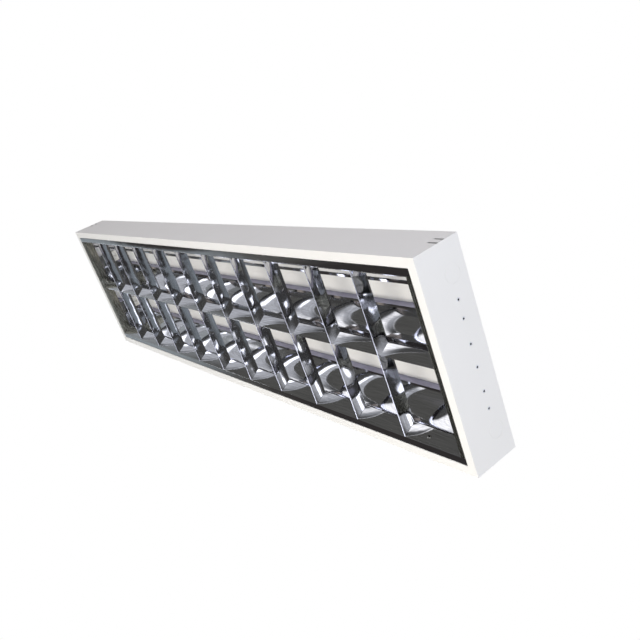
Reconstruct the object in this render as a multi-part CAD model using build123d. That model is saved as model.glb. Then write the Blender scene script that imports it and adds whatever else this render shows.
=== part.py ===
"""Recessed ceiling luminaire for two linear lamps: a folded steel box with a drop-down mirror louvre.

Frame: X runs along the luminaire, Y across it, Z up into the ceiling.  The origin is the centre of the
back (upper) face.  Heights are given above the visible face and turned into Z by up().
"""
from build123d import *
import math
import os

os.makedirs("parts", exist_ok=True)

# ---------------------------------------------------------------- driving sizes, millimetres
LENGTH = 1247.0            # over the end caps
WIDTH = 310.0              # over the long sides
DEPTH = 75.0               # visible face to back
SHEET = 0.7                # painted steel of the box
LIP = 13.8                 # flat lip around the mouth
LIP_RETURN = 9.0           # upstand on the lip's inner edge

SLOT = 35.0                # width of the slot that the lamp sits in
SLOT_DROP = 13.0           # slot's lower edge below the back
MIRROR = 0.4               # anodised mirror sheet

GRID_HEIGHT = 21.5         # louvre grid, face to top
GRID_RECESS = 0.3          # louvre stands this far inside the face
GRID_DRAFT = 13.5          # how far a channel's wall leans in from the face to the grid's top
GRID_GAP = 0.8             # grid top to the fixed mirrors above it
BLADES = 10
BLADE_TOP = 8.0            # width of a blade's open top
BLADE_BULGE = 0.55         # how far a blade's face bows in at mid height
RAIL_FLANGE = 10.2         # louvre flange at the long sides
RAIL_FOLD = 5.0            # stiffening fold along the top of a rail
DIVIDER_NOSE = 4.3         # height of the centre divider's knife edge
DIVIDER_FOLD = 3.5
SIDE_GAP = 1.0             # louvre edge to the lip, long sides
END_GAP = 0.5              # louvre edge to the lip, short ends
END_FLANGE = 8.7           # louvre flange at the short ends
FIT = 0.1                  # clearance between pieces that are pressed or slotted together

TAB_HEIGHT = 10.0          # middle of the tab that fixes a blade to a side rail
TAB_RISE = 4.0             # height of the tab
TAB_THICKNESS = 2.0
TAB_ROOT = 3.0             # tab inside the rail's wall
TAB_REACH = 1.6            # tab outside the rail's wall

HINGE_PIN = 1.2            # diameter
HINGE_FROM_BLADE = 17.9    # hinge from the last blade but one
HINGE_EYE = 16.0           # length of the louvre's rolled eye
HINGE_EAR = 0.8            # thickness of a bracket's ear
HINGE_SIDE_PLAY = 0.5
HINGE_RUN = 0.05           # radial running clearance on the pin
HINGE_EYE_RADIUS = 1.0
HINGE_PIN_HEIGHT = 1.3     # pin above the face
HINGE_PIN_OFFSET = 0.3     # pin in from the louvre flange's edge

CATCH_FROM_BLADE = 42.7    # catch from the last blade
CATCH_WIDTH = 12.0
CATCH_SHEET = 0.5
CATCH_WINDOW = 6.0         # window in the rail that shows the catch
CATCH_WINDOW_HEIGHT = 4.0
CATCH_HEIGHT = 10.0
CATCH_ROOT = 2.4           # spring's lower edge above the face
CATCH_BEND = 5.0           # spring's upper bend above its nose
CATCH_PLAY = 0.6           # nose to the rail's wall
CATCH_TAIL = (3.5, 4.0)    # lead-in below the nose, outwards and down

LAMP_DROP = 18.0           # lamp axis below the back
HOLDER_RADIUS = 13.0
HOLDER_DEPTH = 15.1
HOLDER_SETBACK = 22.2      # front of a lampholder from the outside of its end cap
ROTOR_RADIUS = 9.3
ROTOR_DEPTH = 5.6
ROTOR_PLAY = 0.3
ROTOR_STUB = 2.5
ROTOR_STUB_LENGTH = 3.5
ROTOR_RUN = 0.05
PIN_SLOT = 3.0
CONTACT = (5.0, 1.0, 9.0)  # bronze contact blade
CONTACT_PITCH = 12.7       # between a lamp's two pins
HOLDER_BOSS = 3.0

BRACKET_SHEET = 0.8
BRACKET_WIDTH = 44.0
BRACKET_DROP = 5.0         # bracket's top below the back
BRACKET_RISE = 36.0        # height of a bracket
BRACKET_CHANNEL = 18.0
RIVET_DROP = 26.5          # row of rivets below the back
RIVET_RADIUS = 1.6
RIVET_HEAD = 2.6
RIVET_PROUD = 0.4
RIVET_BULB = 2.3
RIVET_BULB_LENGTH = 1.5
HOLDER_RIVET_SPACING = 26.0
TRAY_RIVET_SPACING = 33.0

KNOCKOUT_RADIUS = 12.5
KNOCKOUT_INSET = 43.5      # from the long side
KNOCKOUT_DROP = 24.0       # below the back
KNOCKOUT_GROOVE = 0.6
CAP_FLANGE = 14.0
END_SLIT_LENGTH = 17.0
END_SLIT = 3.0
END_SLIT_DROPS = (33.0, 22.0)

MIRROR_FLANGE = 9.0        # flange that fixes a mirror to the back
MIRROR_SCREW_INSET = 60.5  # outer screws from the mirrors' ends
MIRROR_SCREW_RADIUS = 2.8
MIRROR_SCREW_HEAD = 1.6
END_PLATE = 0.5
LAMP_NOTCH = 30.0

TRAY = 0.8
TRAY_GAP = 0.5             # tray's edge to the mirrors' flanges
TRAY_TAB_INSET = 10.0      # end tab in from each edge of the tray
TRAY_TAB_DROP = 39.0       # end tab's lower edge below the back

BALLAST = (150.0, 41.0, 28.0)
BALLAST_BASE = 1.2
BALLAST_CORE = 96.0
BALLAST_COIL = 10.0        # coil beyond each end of the core
BALLAST_COIL_SINK = (5.0, 4.0)  # coil below the foot's top and above the core's lower face
BALLAST_HOLE = 2.2
BALLAST_HOLE_INSET = 7.0
PLUG = (12.0, 20.0)        # ballast's terminal block, length and depth below the tray
PLUG_GAP = 1.0             # terminal block to the ballast's foot
PLUG_PITCH = 7.0
PLUG_HOLE = 1.5
PLUG_HOLE_DEPTH = 8.0
PLUG_HOLE_DROP = 12.0
CAPACITOR_RADIUS = 12.5
CAPACITOR_LENGTH = 66.0
CAPACITOR_STUD = 4.0
CAPACITOR_X = -70.0
CAPACITOR_CLIP = 12.0      # width of the strap
TERMINAL = (46.0, 17.0, 16.0)
TERMINAL_X = 20.0
TERMINAL_POLES = 3
TERMINAL_PORT = (6.0, 5.0)  # wire port, width and height
TERMINAL_PORT_DROP = 9.0   # port's lower edge below the tray
TERMINAL_SCREW = 2.35
TERMINAL_SCREW_PLAY = 0.05
TERMINAL_SCREW_SINK = 1.0  # head below the block's face, and the depth of its slot
TERMINAL_SCREW_SLOT = 0.8
TERMINAL_GROOVE = 1.2      # break-off groove between two poles
TERMINAL_GROOVE_DROP = 10.0
EARTH_X = 60.0
EARTH_RADIUS = 2.0
EARTH_NUT = 3.2
EARTH_STUD = 9.0
STARTER_INSET = 100.5      # starter from the mirrors' ends
STARTER_RADIUS = 10.5
STARTER_CLEARANCE = 0.7
STARTER_RISE = 3.5         # starter's lower end above the centre mirror
STARTER_EDGE = 1.5
STARTER_PIN = 2.2
STARTER_PIN_LENGTH = 5.0
STARTER_PIN_OFFSET = 6.2   # pin from the starter's axis
STARTER_PIN_PLAY = 0.6
STARTER_SOCKET = 6.0       # depth of the pins' ring slot
STARTER_HOLDER = (30.0, 26.0, 11.0)

CABLE_X = 90.0
CABLE_BORE = 5.2
GROMMET_SLEEVE = 9.0
GROMMET_FLANGE = 12.0
GROMMET_LENGTH = 6.0
GROMMET_LIP = 1.5
FIXING_INSET = (173.5, 21.0)  # fixing holes from the end caps and from the long sides
FIXING_RADIUS = 3.25

WIRE_DIAMETER = 3.2
WIRE_INSET = 7.0           # loom in from the tray's edge
WIRE_DROP = 3.2            # loom centre below the tray's lower side
WIRE_BEND = 14.0
WIRE_HOLE = 4.2            # radius of the hole in a mirror end plate
CLIP_SPACING = 100.0       # clips before a starter and before a ballast's middle
CLIP_OUTER = 60.0          # clip beyond a starter
CLIP_WIDTH = 8.0
CLIP_WALL = 1.2

# ---------------------------------------------------------------- derived places
HALF_L = LENGTH / 2
HALF_W = WIDTH / 2
CAP_IN = HALF_L - SHEET                     # inner face of an end cap
BACK_IN = DEPTH - SHEET                     # height of the back's inner face
MOUTH_Y = HALF_W - LIP                      # lip's inner edge, long sides
MOUTH_X = HALF_L - LIP                      # lip's inner edge, short ends
RAIL_EDGE_Y = MOUTH_Y - SIDE_GAP
RAIL_EDGE_X = MOUTH_X - END_GAP
RAIL_WALL_X = RAIL_EDGE_X - END_FLANGE
GRID_Y = RAIL_EDGE_Y - RAIL_FLANGE          # outer edge of the grid's mirrors at the face
LAMP_Y = GRID_Y / 2                         # each lamp is over the middle of its channel
GRID_TOP_Y = GRID_Y - GRID_DRAFT
GRID_TOP_HALF = GRID_TOP_Y - LAMP_Y         # half the channel's width at the top of the grid
DIVIDER_TOP = LAMP_Y - GRID_TOP_HALF        # half the divider's width at the top of the grid
GRID_LOW = GRID_RECESS
FIXED_LOW = GRID_HEIGHT + GRID_GAP          # lowest height of the fixed mirrors
WALL_SLOPE = GRID_DRAFT / (GRID_HEIGHT - GRID_LOW)
CELL_PITCH = 2 * RAIL_WALL_X / (BLADES + 1)
BLADE_XS = [(i - (BLADES - 1) / 2) * CELL_PITCH for i in range(BLADES)]
SIDES = (-1, 1)

END_PLATE_X = RAIL_WALL_X                   # mirror face of the end plates
SLOT_HEIGHT = DEPTH - SLOT_DROP             # height of the slot's lower edge
LAMP_HEIGHT = DEPTH - LAMP_DROP             # lamp axis above the face
HOLDER_FRONT = HALF_L - HOLDER_SETBACK
HOLDER_BACK = HOLDER_FRONT + HOLDER_DEPTH
BRACKET_TOP = DEPTH - BRACKET_DROP
BRACKET_BOTTOM = BRACKET_TOP - BRACKET_RISE
RIVET_HEIGHT = DEPTH - RIVET_DROP
KNOCKOUT_Y = HALF_W - KNOCKOUT_INSET
KNOCKOUT_HEIGHT = DEPTH - KNOCKOUT_DROP
END_SLIT_HEIGHTS = [DEPTH - drop for drop in END_SLIT_DROPS]
FIXING_X = HALF_L - FIXING_INSET[0]
FIXING_Y = HALF_W - FIXING_INSET[1]

TRAY_LOW = BACK_IN - TRAY
TRAY_HALF = LAMP_Y - SLOT / 2 - MIRROR_FLANGE - TRAY_GAP
TRAY_TAB_HALF = TRAY_HALF - TRAY_TAB_INSET
TRAY_TAB_BOTTOM = DEPTH - TRAY_TAB_DROP
STARTER_X = RAIL_WALL_X - STARTER_INSET
STARTER_SEAT = TRAY_LOW - STARTER_HOLDER[2]
BALLAST_X = STARTER_X / 2
WIRE_Y = TRAY_HALF - WIRE_INSET
CLIP_PLACES = (BALLAST_X - CLIP_SPACING, STARTER_X - CLIP_SPACING, STARTER_X + CLIP_OUTER)
HINGE_X = BLADE_XS[-2] + HINGE_FROM_BLADE
HINGE_Y = -(RAIL_EDGE_Y - HINGE_PIN_OFFSET)
CATCH_X = BLADE_XS[-1] + CATCH_FROM_BLADE
MIRROR_SCREW_X = END_PLATE_X - MIRROR_SCREW_INSET

# fixed mirror: a parabola about the lamp, half width at height h is sqrt(MIRROR_K * (MIRROR_V - h))
FIXED_MOUTH = GRID_TOP_HALF + FIT
MIRROR_K = (FIXED_MOUTH ** 2 - (SLOT / 2) ** 2) / (SLOT_HEIGHT - FIXED_LOW)
MIRROR_V = SLOT_HEIGHT + (SLOT / 2) ** 2 / MIRROR_K


def up(height):
    """Z of a height above the visible face."""
    return height - DEPTH


def mirror_half(height):
    """Half width of a lamp channel between its fixed mirrors at a height."""
    return math.sqrt(MIRROR_K * (MIRROR_V - height))


def box(x0, x1, y0, y1, h0, h1):
    """Block between two corners, with heights above the face."""
    size = (abs(x1 - x0), abs(y1 - y0), abs(h1 - h0))
    return Pos((x0 + x1) / 2, (y0 + y1) / 2, up((h0 + h1) / 2)) * Box(*size)


def rod_x(x0, x1, y, height, radius):
    """Round bar along X."""
    return Pos((x0 + x1) / 2, y, up(height)) * Rot(0, 90, 0) * Cylinder(radius, abs(x1 - x0))


def rod_z(x, y, h0, h1, radius):
    """Round bar along Z."""
    return Pos(x, y, up((h0 + h1) / 2)) * Cylinder(radius, abs(h1 - h0))


def strip(points, thickness):
    """Outline of folded sheet: the points are one side of it and the sheet lies to their left."""
    steps = [Vector(*b) - Vector(*a) for a, b in zip(points, points[1:])]
    normals = [Vector(-s.Y, s.X).normalized() for s in steps]
    firsts = [normals[0]] + normals
    lasts = normals + [normals[-1]]
    inner = [
        Vector(*p) + (a + b) * (thickness / (1 + a.dot(b)))
        for p, a, b in zip(points, firsts, lasts)
    ]
    return [tuple(p) for p in points] + [(p.X, p.Y) for p in reversed(inner)]


def along_x(outline, half):
    """Sweep an outline of (y, height) points along X, both ways from the middle."""
    face = make_face(Polyline(*[(y, up(h)) for y, h in outline], close=True))
    return extrude(Plane.YZ * face, amount=half, both=True)


def cross_plane(x):
    """Upright plane across the luminaire's length at x, seen along +Y, so that its own x is -X."""
    return Plane(origin=(x, 0, 0), x_dir=(-1, 0, 0), z_dir=(0, 1, 0))


def along_y(outline, half):
    """Sweep an outline of (x, height) points along Y, both ways from the middle."""
    face = make_face(Polyline(*[(-u, up(h)) for u, h in outline], close=True))
    return extrude(cross_plane(0) * face, amount=half, both=True)


def flip(shape, side):
    """Mirror a shape drawn for the +X side to the other end when side is -1."""
    return shape if side > 0 else mirror(shape, about=Plane.YZ)


def across(shape, side):
    """Mirror a shape drawn for the +Y side to the other long side when side is -1."""
    return shape if side > 0 else mirror(shape, about=Plane.XZ)


def save(name, shape):
    """Write one node."""
    export_step(shape, f"parts/{name}.step")


def group(shapes):
    """Separate solids kept in one node."""
    solids = [solid for shape in shapes for solid in shape.solids()]
    return Compound(children=solids)


# ---------------------------------------------------------------- box: trough and end caps
def make_housing():
    """Back, long sides and long lips, folded from one sheet."""
    edge = [
        (-MOUTH_Y, LIP_RETURN), (-MOUTH_Y, 0), (-HALF_W, 0), (-HALF_W, DEPTH),
        (HALF_W, DEPTH), (HALF_W, 0), (MOUTH_Y, 0), (MOUTH_Y, LIP_RETURN),
    ]
    body = along_x(strip(list(reversed(edge)), SHEET), CAP_IN)
    for side in SIDES:
        for height in END_SLIT_HEIGHTS:
            slit = box(CAP_IN - END_SLIT_LENGTH, CAP_IN, -HALF_W, HALF_W,
                       height - END_SLIT / 2, height + END_SLIT / 2)
            body -= flip(slit, side)
        for long_side in SIDES:
            body -= rod_z(side * FIXING_X, long_side * FIXING_Y, BACK_IN, DEPTH, FIXING_RADIUS)
    return body - rod_z(CABLE_X, 0, BACK_IN, DEPTH, GROMMET_SLEEVE + FIT / 2)


def rivet_places():
    """(y, height) of the blind rivets in one end cap."""
    middles = (-LAMP_Y, 0, LAMP_Y)
    spacings = (HOLDER_RIVET_SPACING, TRAY_RIVET_SPACING, HOLDER_RIVET_SPACING)
    return [(y + s * gap / 2, RIVET_HEIGHT) for y, gap in zip(middles, spacings) for s in SIDES]


def make_end_cap(side):
    """Flat end with its own lip, flanges inside the trough, and two half-cut knockouts."""
    cap = box(CAP_IN, HALF_L, -HALF_W, HALF_W, 0, DEPTH)
    lip = [(HALF_L, 0), (MOUTH_X, 0), (MOUTH_X, LIP_RETURN)]
    cap += along_y(strip(list(reversed(lip)), SHEET), MOUTH_Y)
    lowest = LIP_RETURN + SHEET
    flange_y = HALF_W - SHEET
    spans = [
        (lowest, END_SLIT_HEIGHTS[0] - 2 * END_SLIT),
        (END_SLIT_HEIGHTS[1] + 2 * END_SLIT, BACK_IN - 2 * SHEET),
    ]
    flange_in = CAP_IN - CAP_FLANGE
    for y_side in SIDES:
        for h0, h1 in spans:
            cap += box(flange_in, CAP_IN, y_side * flange_y, y_side * (flange_y - SHEET), h0, h1)
        y = y_side * KNOCKOUT_Y
        ring = rod_x(HALF_L - SHEET / 2, HALF_L, y, KNOCKOUT_HEIGHT, KNOCKOUT_RADIUS)
        core = rod_x(HALF_L - SHEET, HALF_L, y, KNOCKOUT_HEIGHT, KNOCKOUT_RADIUS - KNOCKOUT_GROOVE)
        cap -= ring - core
        top_y = y_side * (LAMP_Y + SLOT)
        cap += box(flange_in, CAP_IN, top_y, y_side * FIXING_Y, BACK_IN - SHEET, BACK_IN)
    for y, h in rivet_places():
        cap -= rod_x(CAP_IN, HALF_L, y, h, RIVET_RADIUS)
    return flip(cap, side)


def make_end_rivets():
    """Blind rivets through the end caps into the brackets behind them."""
    rivets = []
    for side in SIDES:
        for y, h in rivet_places():
            back = CAP_IN - BRACKET_SHEET
            rivet = rod_x(back, HALF_L, y, h, RIVET_RADIUS)
            rivet += rod_x(HALF_L, HALF_L + RIVET_PROUD, y, h, RIVET_HEAD)
            rivet += rod_x(back - RIVET_BULB_LENGTH, back, y, h, RIVET_BULB)
            rivet -= rod_x(HALF_L - SHEET, HALF_L + RIVET_PROUD, y, h, RIVET_RADIUS / 2)
            rivets.append(flip(rivet, side))
    return group(rivets)


# ---------------------------------------------------------------- fixed mirrors above the lamps' sides
def mirror_wing():
    """Curved mirror of one channel side, drawn about the channel's middle on its +Y side."""
    heights = (FIXED_LOW, (FIXED_LOW + SLOT_HEIGHT) / 2, SLOT_HEIGHT)
    face = [(mirror_half(h), h) for h in heights]
    slopes = [-MIRROR_K / (2 * mirror_half(h)) for h in heights]
    normals = [Vector(1, -s).normalized() for s in slopes]
    rear = [(y + n.X * MIRROR, h + n.Y * MIRROR) for (y, h), n in zip(face, normals)]
    front_arc = ThreePointArc(*[(y, up(h)) for y, h in face])
    rear_arc = ThreePointArc(*[(y, up(h)) for y, h in rear])
    ends = [Line(front_arc @ 0, rear_arc @ 0), Line(front_arc @ 1, rear_arc @ 1)]
    wing = extrude(Plane.YZ * make_face([front_arc, rear_arc] + ends), amount=END_PLATE_X, both=True)
    half = SLOT / 2
    lip = [(half, SLOT_HEIGHT - MIRROR / 4), (half, BACK_IN), (half + MIRROR_FLANGE, BACK_IN)]
    return wing + along_x(strip(list(reversed(lip)), MIRROR), END_PLATE_X)


def make_outer_mirror(side):
    """Mirror between a lamp channel and the long side."""
    shape = Pos(0, LAMP_Y, 0) * mirror_wing()
    y = LAMP_Y + mirror_half(FIXED_LOW)
    shape += box(-END_PLATE_X, END_PLATE_X, y, y + RAIL_FOLD, FIXED_LOW, FIXED_LOW + MIRROR)
    return across(shape, side)


def make_gear_cover():
    """Centre mirror: both inner sides of the channels and the flat between them, over the gear."""
    wing = mirror_wing()
    cover = Pos(0, -LAMP_Y, 0) * wing + Pos(0, LAMP_Y, 0) * across(wing, -1)
    flat = LAMP_Y - mirror_half(FIXED_LOW)
    cover += box(-END_PLATE_X, END_PLATE_X, -flat, flat, FIXED_LOW, FIXED_LOW + MIRROR)
    hole = STARTER_RADIUS + STARTER_CLEARANCE
    for side in SIDES:
        cover -= rod_z(side * STARTER_X, 0, FIXED_LOW, FIXED_LOW + 2 * MIRROR, hole)
    return cover


def make_end_plate(side):
    """Mirror plate that closes both channels at one end, notched for the lamps."""
    half = LAMP_Y + FIXED_MOUTH + RAIL_FOLD
    x0, x1 = END_PLATE_X, END_PLATE_X + END_PLATE
    notch = LAMP_NOTCH / 2
    tray = TRAY_HALF + FIT
    plate = box(x0, x1, -half, half, FIXED_LOW, BACK_IN)
    plate -= box(x0, x1, -tray, tray, TRAY_LOW - FIT, BACK_IN)
    for y_side in SIDES:
        y = y_side * LAMP_Y
        plate -= rod_x(x0, x1, y, LAMP_HEIGHT, notch)
        plate -= box(x0, x1, y - notch, y + notch, FIXED_LOW, LAMP_HEIGHT)
        outer = y_side * (LAMP_Y + HOLDER_RADIUS + SLOT / 2)
        plate += box(x0, x0 + CAP_FLANGE / 2, outer, y_side * half, BACK_IN - END_PLATE, BACK_IN)
        plate -= rod_x(x0, x1, y_side * WIRE_Y, TRAY_LOW - WIRE_DROP, WIRE_HOLE)
    return flip(plate, side)


def make_mirror_screws():
    """Pan heads that clamp the mirrors' top flanges to the back."""
    top = BACK_IN - MIRROR
    low = top - MIRROR_SCREW_HEAD
    flange = SLOT / 2 + MIRROR_FLANGE / 2
    heads = []
    for x in (-MIRROR_SCREW_X, -MIRROR_SCREW_X / 3, MIRROR_SCREW_X / 3, MIRROR_SCREW_X):
        for y_side in SIDES:
            for flange_side in SIDES:
                y = y_side * (LAMP_Y + flange_side * flange)
                heads.append(rod_z(x, y, low, top, MIRROR_SCREW_RADIUS))
    return group(heads)


# ---------------------------------------------------------------- lampholders
def make_bracket(end, channel):
    """Folded steel bracket between an end cap and a lampholder."""
    y = channel * LAMP_Y
    low, high = BRACKET_BOTTOM, BRACKET_TOP
    base_in = CAP_IN - BRACKET_SHEET
    seat = HOLDER_BACK
    wide, half = BRACKET_WIDTH / 2, BRACKET_CHANNEL / 2
    hollow = half - BRACKET_SHEET
    bracket = box(base_in, CAP_IN, y - wide, y + wide, low, high)
    bracket += box(seat, base_in, y - half, y + half, low, high)
    bracket -= box(seat + BRACKET_SHEET, CAP_IN, y - hollow, y + hollow, low, high)
    bracket -= rod_x(seat, seat + BRACKET_SHEET, y, LAMP_HEIGHT, HOLDER_BOSS + FIT)
    for s in SIDES:
        bracket -= rod_x(base_in, CAP_IN, y + s * HOLDER_RIVET_SPACING / 2, RIVET_HEIGHT, RIVET_RADIUS)
    return flip(bracket, end)


def contact_places(channel):
    """Boxes of the two contacts in one lampholder, for the +X end."""
    length, thick, tall = CONTACT
    low, high = LAMP_HEIGHT - tall / 2, LAMP_HEIGHT + tall / 2
    middles = [channel * LAMP_Y + s * CONTACT_PITCH / 2 for s in SIDES]
    return [
        (HOLDER_BACK - length, HOLDER_BACK, y - thick / 2, y + thick / 2, low, high)
        for y in middles
    ]


def make_lampholder(end, channel):
    """Moulded rotary lampholder with a pin slot that opens downwards."""
    y = channel * LAMP_Y
    front, back = HOLDER_FRONT, HOLDER_BACK
    top = TRAY_LOW - FIT
    recess = front + ROTOR_DEPTH + 2 * ROTOR_PLAY
    body = rod_x(front, back, y, LAMP_HEIGHT, HOLDER_RADIUS)
    body += box(front, back, y - HOLDER_RADIUS, y + HOLDER_RADIUS, LAMP_HEIGHT, top)
    body += rod_x(back, back + BRACKET_SHEET, y, LAMP_HEIGHT, HOLDER_BOSS)
    body -= rod_x(front, recess, y, LAMP_HEIGHT, ROTOR_RADIUS + ROTOR_PLAY)
    body -= rod_x(recess, recess + ROTOR_STUB_LENGTH, y, LAMP_HEIGHT, ROTOR_STUB + ROTOR_RUN)
    slot = PIN_SLOT / 2
    body -= box(front, recess, y - slot, y + slot, LAMP_HEIGHT - HOLDER_RADIUS, LAMP_HEIGHT)
    for place in contact_places(channel):
        body -= box(*place)
    return flip(body, end)


def make_rotor(end, channel):
    """Disc that carries the lamp's pins round a quarter turn."""
    y = channel * LAMP_Y
    front = HOLDER_FRONT + ROTOR_PLAY
    back = front + ROTOR_DEPTH
    slot = PIN_SLOT / 2
    low, high = LAMP_HEIGHT - ROTOR_RADIUS, LAMP_HEIGHT + ROTOR_RADIUS
    rotor = rod_x(front, back, y, LAMP_HEIGHT, ROTOR_RADIUS)
    rotor += rod_x(back, back + ROTOR_STUB_LENGTH, y, LAMP_HEIGHT, ROTOR_STUB)
    rotor -= box(front, front + ROTOR_DEPTH * 0.8, y - slot, y + slot, low, high)
    return flip(rotor, end)


def make_contacts():
    """Bronze contacts at the backs of the lampholders."""
    places = [place for channel in SIDES for place in contact_places(channel)]
    return group([flip(box(*place), end) for end in SIDES for place in places])


# ---------------------------------------------------------------- control gear under the centre mirror
def make_gear_tray():
    """Tray along the back, folded down at both ends to the end caps."""
    tray = box(-CAP_IN, CAP_IN, -TRAY_HALF, TRAY_HALF, TRAY_LOW, BACK_IN)
    tab_in = CAP_IN - BRACKET_SHEET
    for side in SIDES:
        tab = box(tab_in, CAP_IN, -TRAY_TAB_HALF, TRAY_TAB_HALF, TRAY_TAB_BOTTOM, BACK_IN)
        for s in SIDES:
            tab -= rod_x(tab_in, CAP_IN, s * TRAY_RIVET_SPACING / 2, RIVET_HEIGHT, RIVET_RADIUS)
        tray += flip(tab, side)
    return tray - rod_z(CABLE_X, 0, TRAY_LOW, BACK_IN, GROMMET_FLANGE + FIT)


def make_ballast(side):
    """Magnetic ballast: stack of laminations on a foot plate, with moulded ends."""
    length, width, height = BALLAST
    x = side * BALLAST_X
    top, low = TRAY_LOW, TRAY_LOW - height
    seat = top - BALLAST_BASE
    core_half = BALLAST_CORE / 2
    coil_half = core_half + BALLAST_COIL
    coil_top, coil_low = top - BALLAST_COIL_SINK[0], low + BALLAST_COIL_SINK[1]
    foot = box(x - length / 2, x + length / 2, -width / 2, width / 2, seat, top)
    core = box(x - core_half, x + core_half, -width / 2, width / 2, low, seat)
    coil = box(x - coil_half, x + coil_half, -width / 3, width / 3, coil_low, coil_top)
    ballast = foot + core + coil
    for s in SIDES:
        ballast -= rod_z(x + s * (length / 2 - BALLAST_HOLE_INSET), 0, seat, top, BALLAST_HOLE)
    return ballast


def make_ballast_terminals():
    """Push-in terminals on the inner end of each ballast."""
    length, drop = PLUG
    x1 = BALLAST_X - BALLAST_CORE / 2 - BALLAST_COIL
    x0 = x1 - length
    half = BALLAST[1] / 3
    block = box(x0, x1, -half, half, TRAY_LOW - drop, TRAY_LOW - BALLAST_BASE - PLUG_GAP)
    for y in (-PLUG_PITCH, 0, PLUG_PITCH):
        block -= rod_x(x0, x0 + PLUG_HOLE_DEPTH, y, TRAY_LOW - PLUG_HOLE_DROP, PLUG_HOLE)
    return group([flip(block, side) for side in SIDES])


def make_capacitor():
    """Round capacitor with its fixing stud, across the tray's underside."""
    height = TRAY_LOW - CLIP_WALL - CAPACITOR_RADIUS
    x0, x1 = CAPACITOR_X - CAPACITOR_LENGTH / 2, CAPACITOR_X + CAPACITOR_LENGTH / 2
    can = rod_x(x0, x1, 0, height, CAPACITOR_RADIUS)
    return can + rod_x(x1, x1 + CAPACITOR_STUD, 0, height, CAPACITOR_RADIUS * 0.6)


def make_capacitor_clip():
    """Spring strap that holds the capacitor under the tray."""
    height = TRAY_LOW - CLIP_WALL - CAPACITOR_RADIUS
    outer = CAPACITOR_RADIUS + CLIP_WALL
    x0, x1 = CAPACITOR_X - CAPACITOR_CLIP / 2, CAPACITOR_X + CAPACITOR_CLIP / 2
    clip = rod_x(x0, x1, 0, height, outer)
    clip += box(x0, x1, -outer, outer, TRAY_LOW - CLIP_WALL, TRAY_LOW)
    clip -= rod_x(x0, x1, 0, height, CAPACITOR_RADIUS + FIT / 2)
    return clip - box(x0, x1, -outer / 2, outer / 2, height - outer, height - outer / 2)


def make_terminal_block():
    """Three-pole mains terminal on the tray."""
    length, width, height = TERMINAL
    half = width / 2
    low = TRAY_LOW - height
    port_low = TRAY_LOW - TERMINAL_PORT_DROP
    port_half, port_rise = TERMINAL_PORT[0] / 2, TERMINAL_PORT[1]
    x0 = TERMINAL_X - length / 2
    block = box(x0, x0 + length, -half, half, low, TRAY_LOW)
    pitch = length / TERMINAL_POLES
    for i in range(TERMINAL_POLES):
        x = x0 + pitch * (i + 0.5)
        block -= box(x - port_half, x + port_half, -half, half, port_low, port_low + port_rise)
        for s in SIDES:
            block -= rod_z(x, s * half / 2, low, port_low, TERMINAL_SCREW + TERMINAL_SCREW_PLAY)
    groove = TERMINAL_GROOVE / 2
    for i in range(1, TERMINAL_POLES):
        x = x0 + pitch * i
        block -= box(x - groove, x + groove, -half, half, low, TRAY_LOW - TERMINAL_GROOVE_DROP)
    return block


def make_terminal_screws():
    """Brass clamping screws in the terminal block."""
    length, width, height = TERMINAL
    pitch = length / TERMINAL_POLES
    low = TRAY_LOW - height + TERMINAL_SCREW_SINK
    slot = TERMINAL_SCREW_SLOT / 2
    screws = []
    for i in range(TERMINAL_POLES):
        x = TERMINAL_X - length / 2 + pitch * (i + 0.5)
        for s in SIDES:
            y = s * width / 4
            y0, y1 = y - TERMINAL_SCREW, y + TERMINAL_SCREW
            screw = rod_z(x, y, low, TRAY_LOW - TERMINAL_PORT_DROP, TERMINAL_SCREW)
            screws.append(screw - box(x - slot, x + slot, y0, y1, low, low + TERMINAL_SCREW_SINK))
    return group(screws)


def make_starter_holder(side):
    """Moulded socket on the tray that a starter twists into."""
    length, width, height = STARTER_HOLDER
    x = STARTER_X
    seat = STARTER_SEAT
    holder = box(x - length / 2, x + length / 2, -width / 2, width / 2, seat, TRAY_LOW)
    reach = STARTER_PIN + STARTER_PIN_PLAY
    top = seat + STARTER_SOCKET
    ring = rod_z(x, 0, seat, top, STARTER_PIN_OFFSET + reach)
    ring -= rod_z(x, 0, seat, top, STARTER_PIN_OFFSET - reach)
    return flip(holder - ring, side)


def make_starter(side):
    """Glow starter can with two pins, mouth up."""
    x = STARTER_X
    seat = STARTER_SEAT - ROTOR_PLAY
    low = FIXED_LOW + MIRROR + STARTER_RISE
    starter = rod_z(x, 0, low, seat, STARTER_RADIUS)
    starter = fillet(starter.edges().sort_by(Axis.Z)[0], STARTER_EDGE)
    for s in SIDES:
        starter += rod_z(x, s * STARTER_PIN_OFFSET, seat, seat + STARTER_PIN_LENGTH, STARTER_PIN)
    return flip(starter, side)


def make_grommet():
    """Rubber grommet flush with the back."""
    grommet = rod_z(CABLE_X, 0, DEPTH - GROMMET_LENGTH, DEPTH, GROMMET_SLEEVE)
    grommet += rod_z(CABLE_X, 0, BACK_IN - GROMMET_LIP, BACK_IN, GROMMET_FLANGE)
    return grommet - rod_z(CABLE_X, 0, DEPTH - GROMMET_LENGTH, DEPTH, CABLE_BORE)


def make_earth_stud():
    """Earth stud and nut beside the terminal block."""
    stud = rod_z(EARTH_X, 0, TRAY_LOW - EARTH_STUD, TRAY_LOW, EARTH_RADIUS)
    outline = Pos(EARTH_X, 0, up(TRAY_LOW - EARTH_NUT)) * RegularPolygon(2 * EARTH_RADIUS, 6)
    return group([stud, extrude(outline, amount=EARTH_NUT) - stud])


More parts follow.
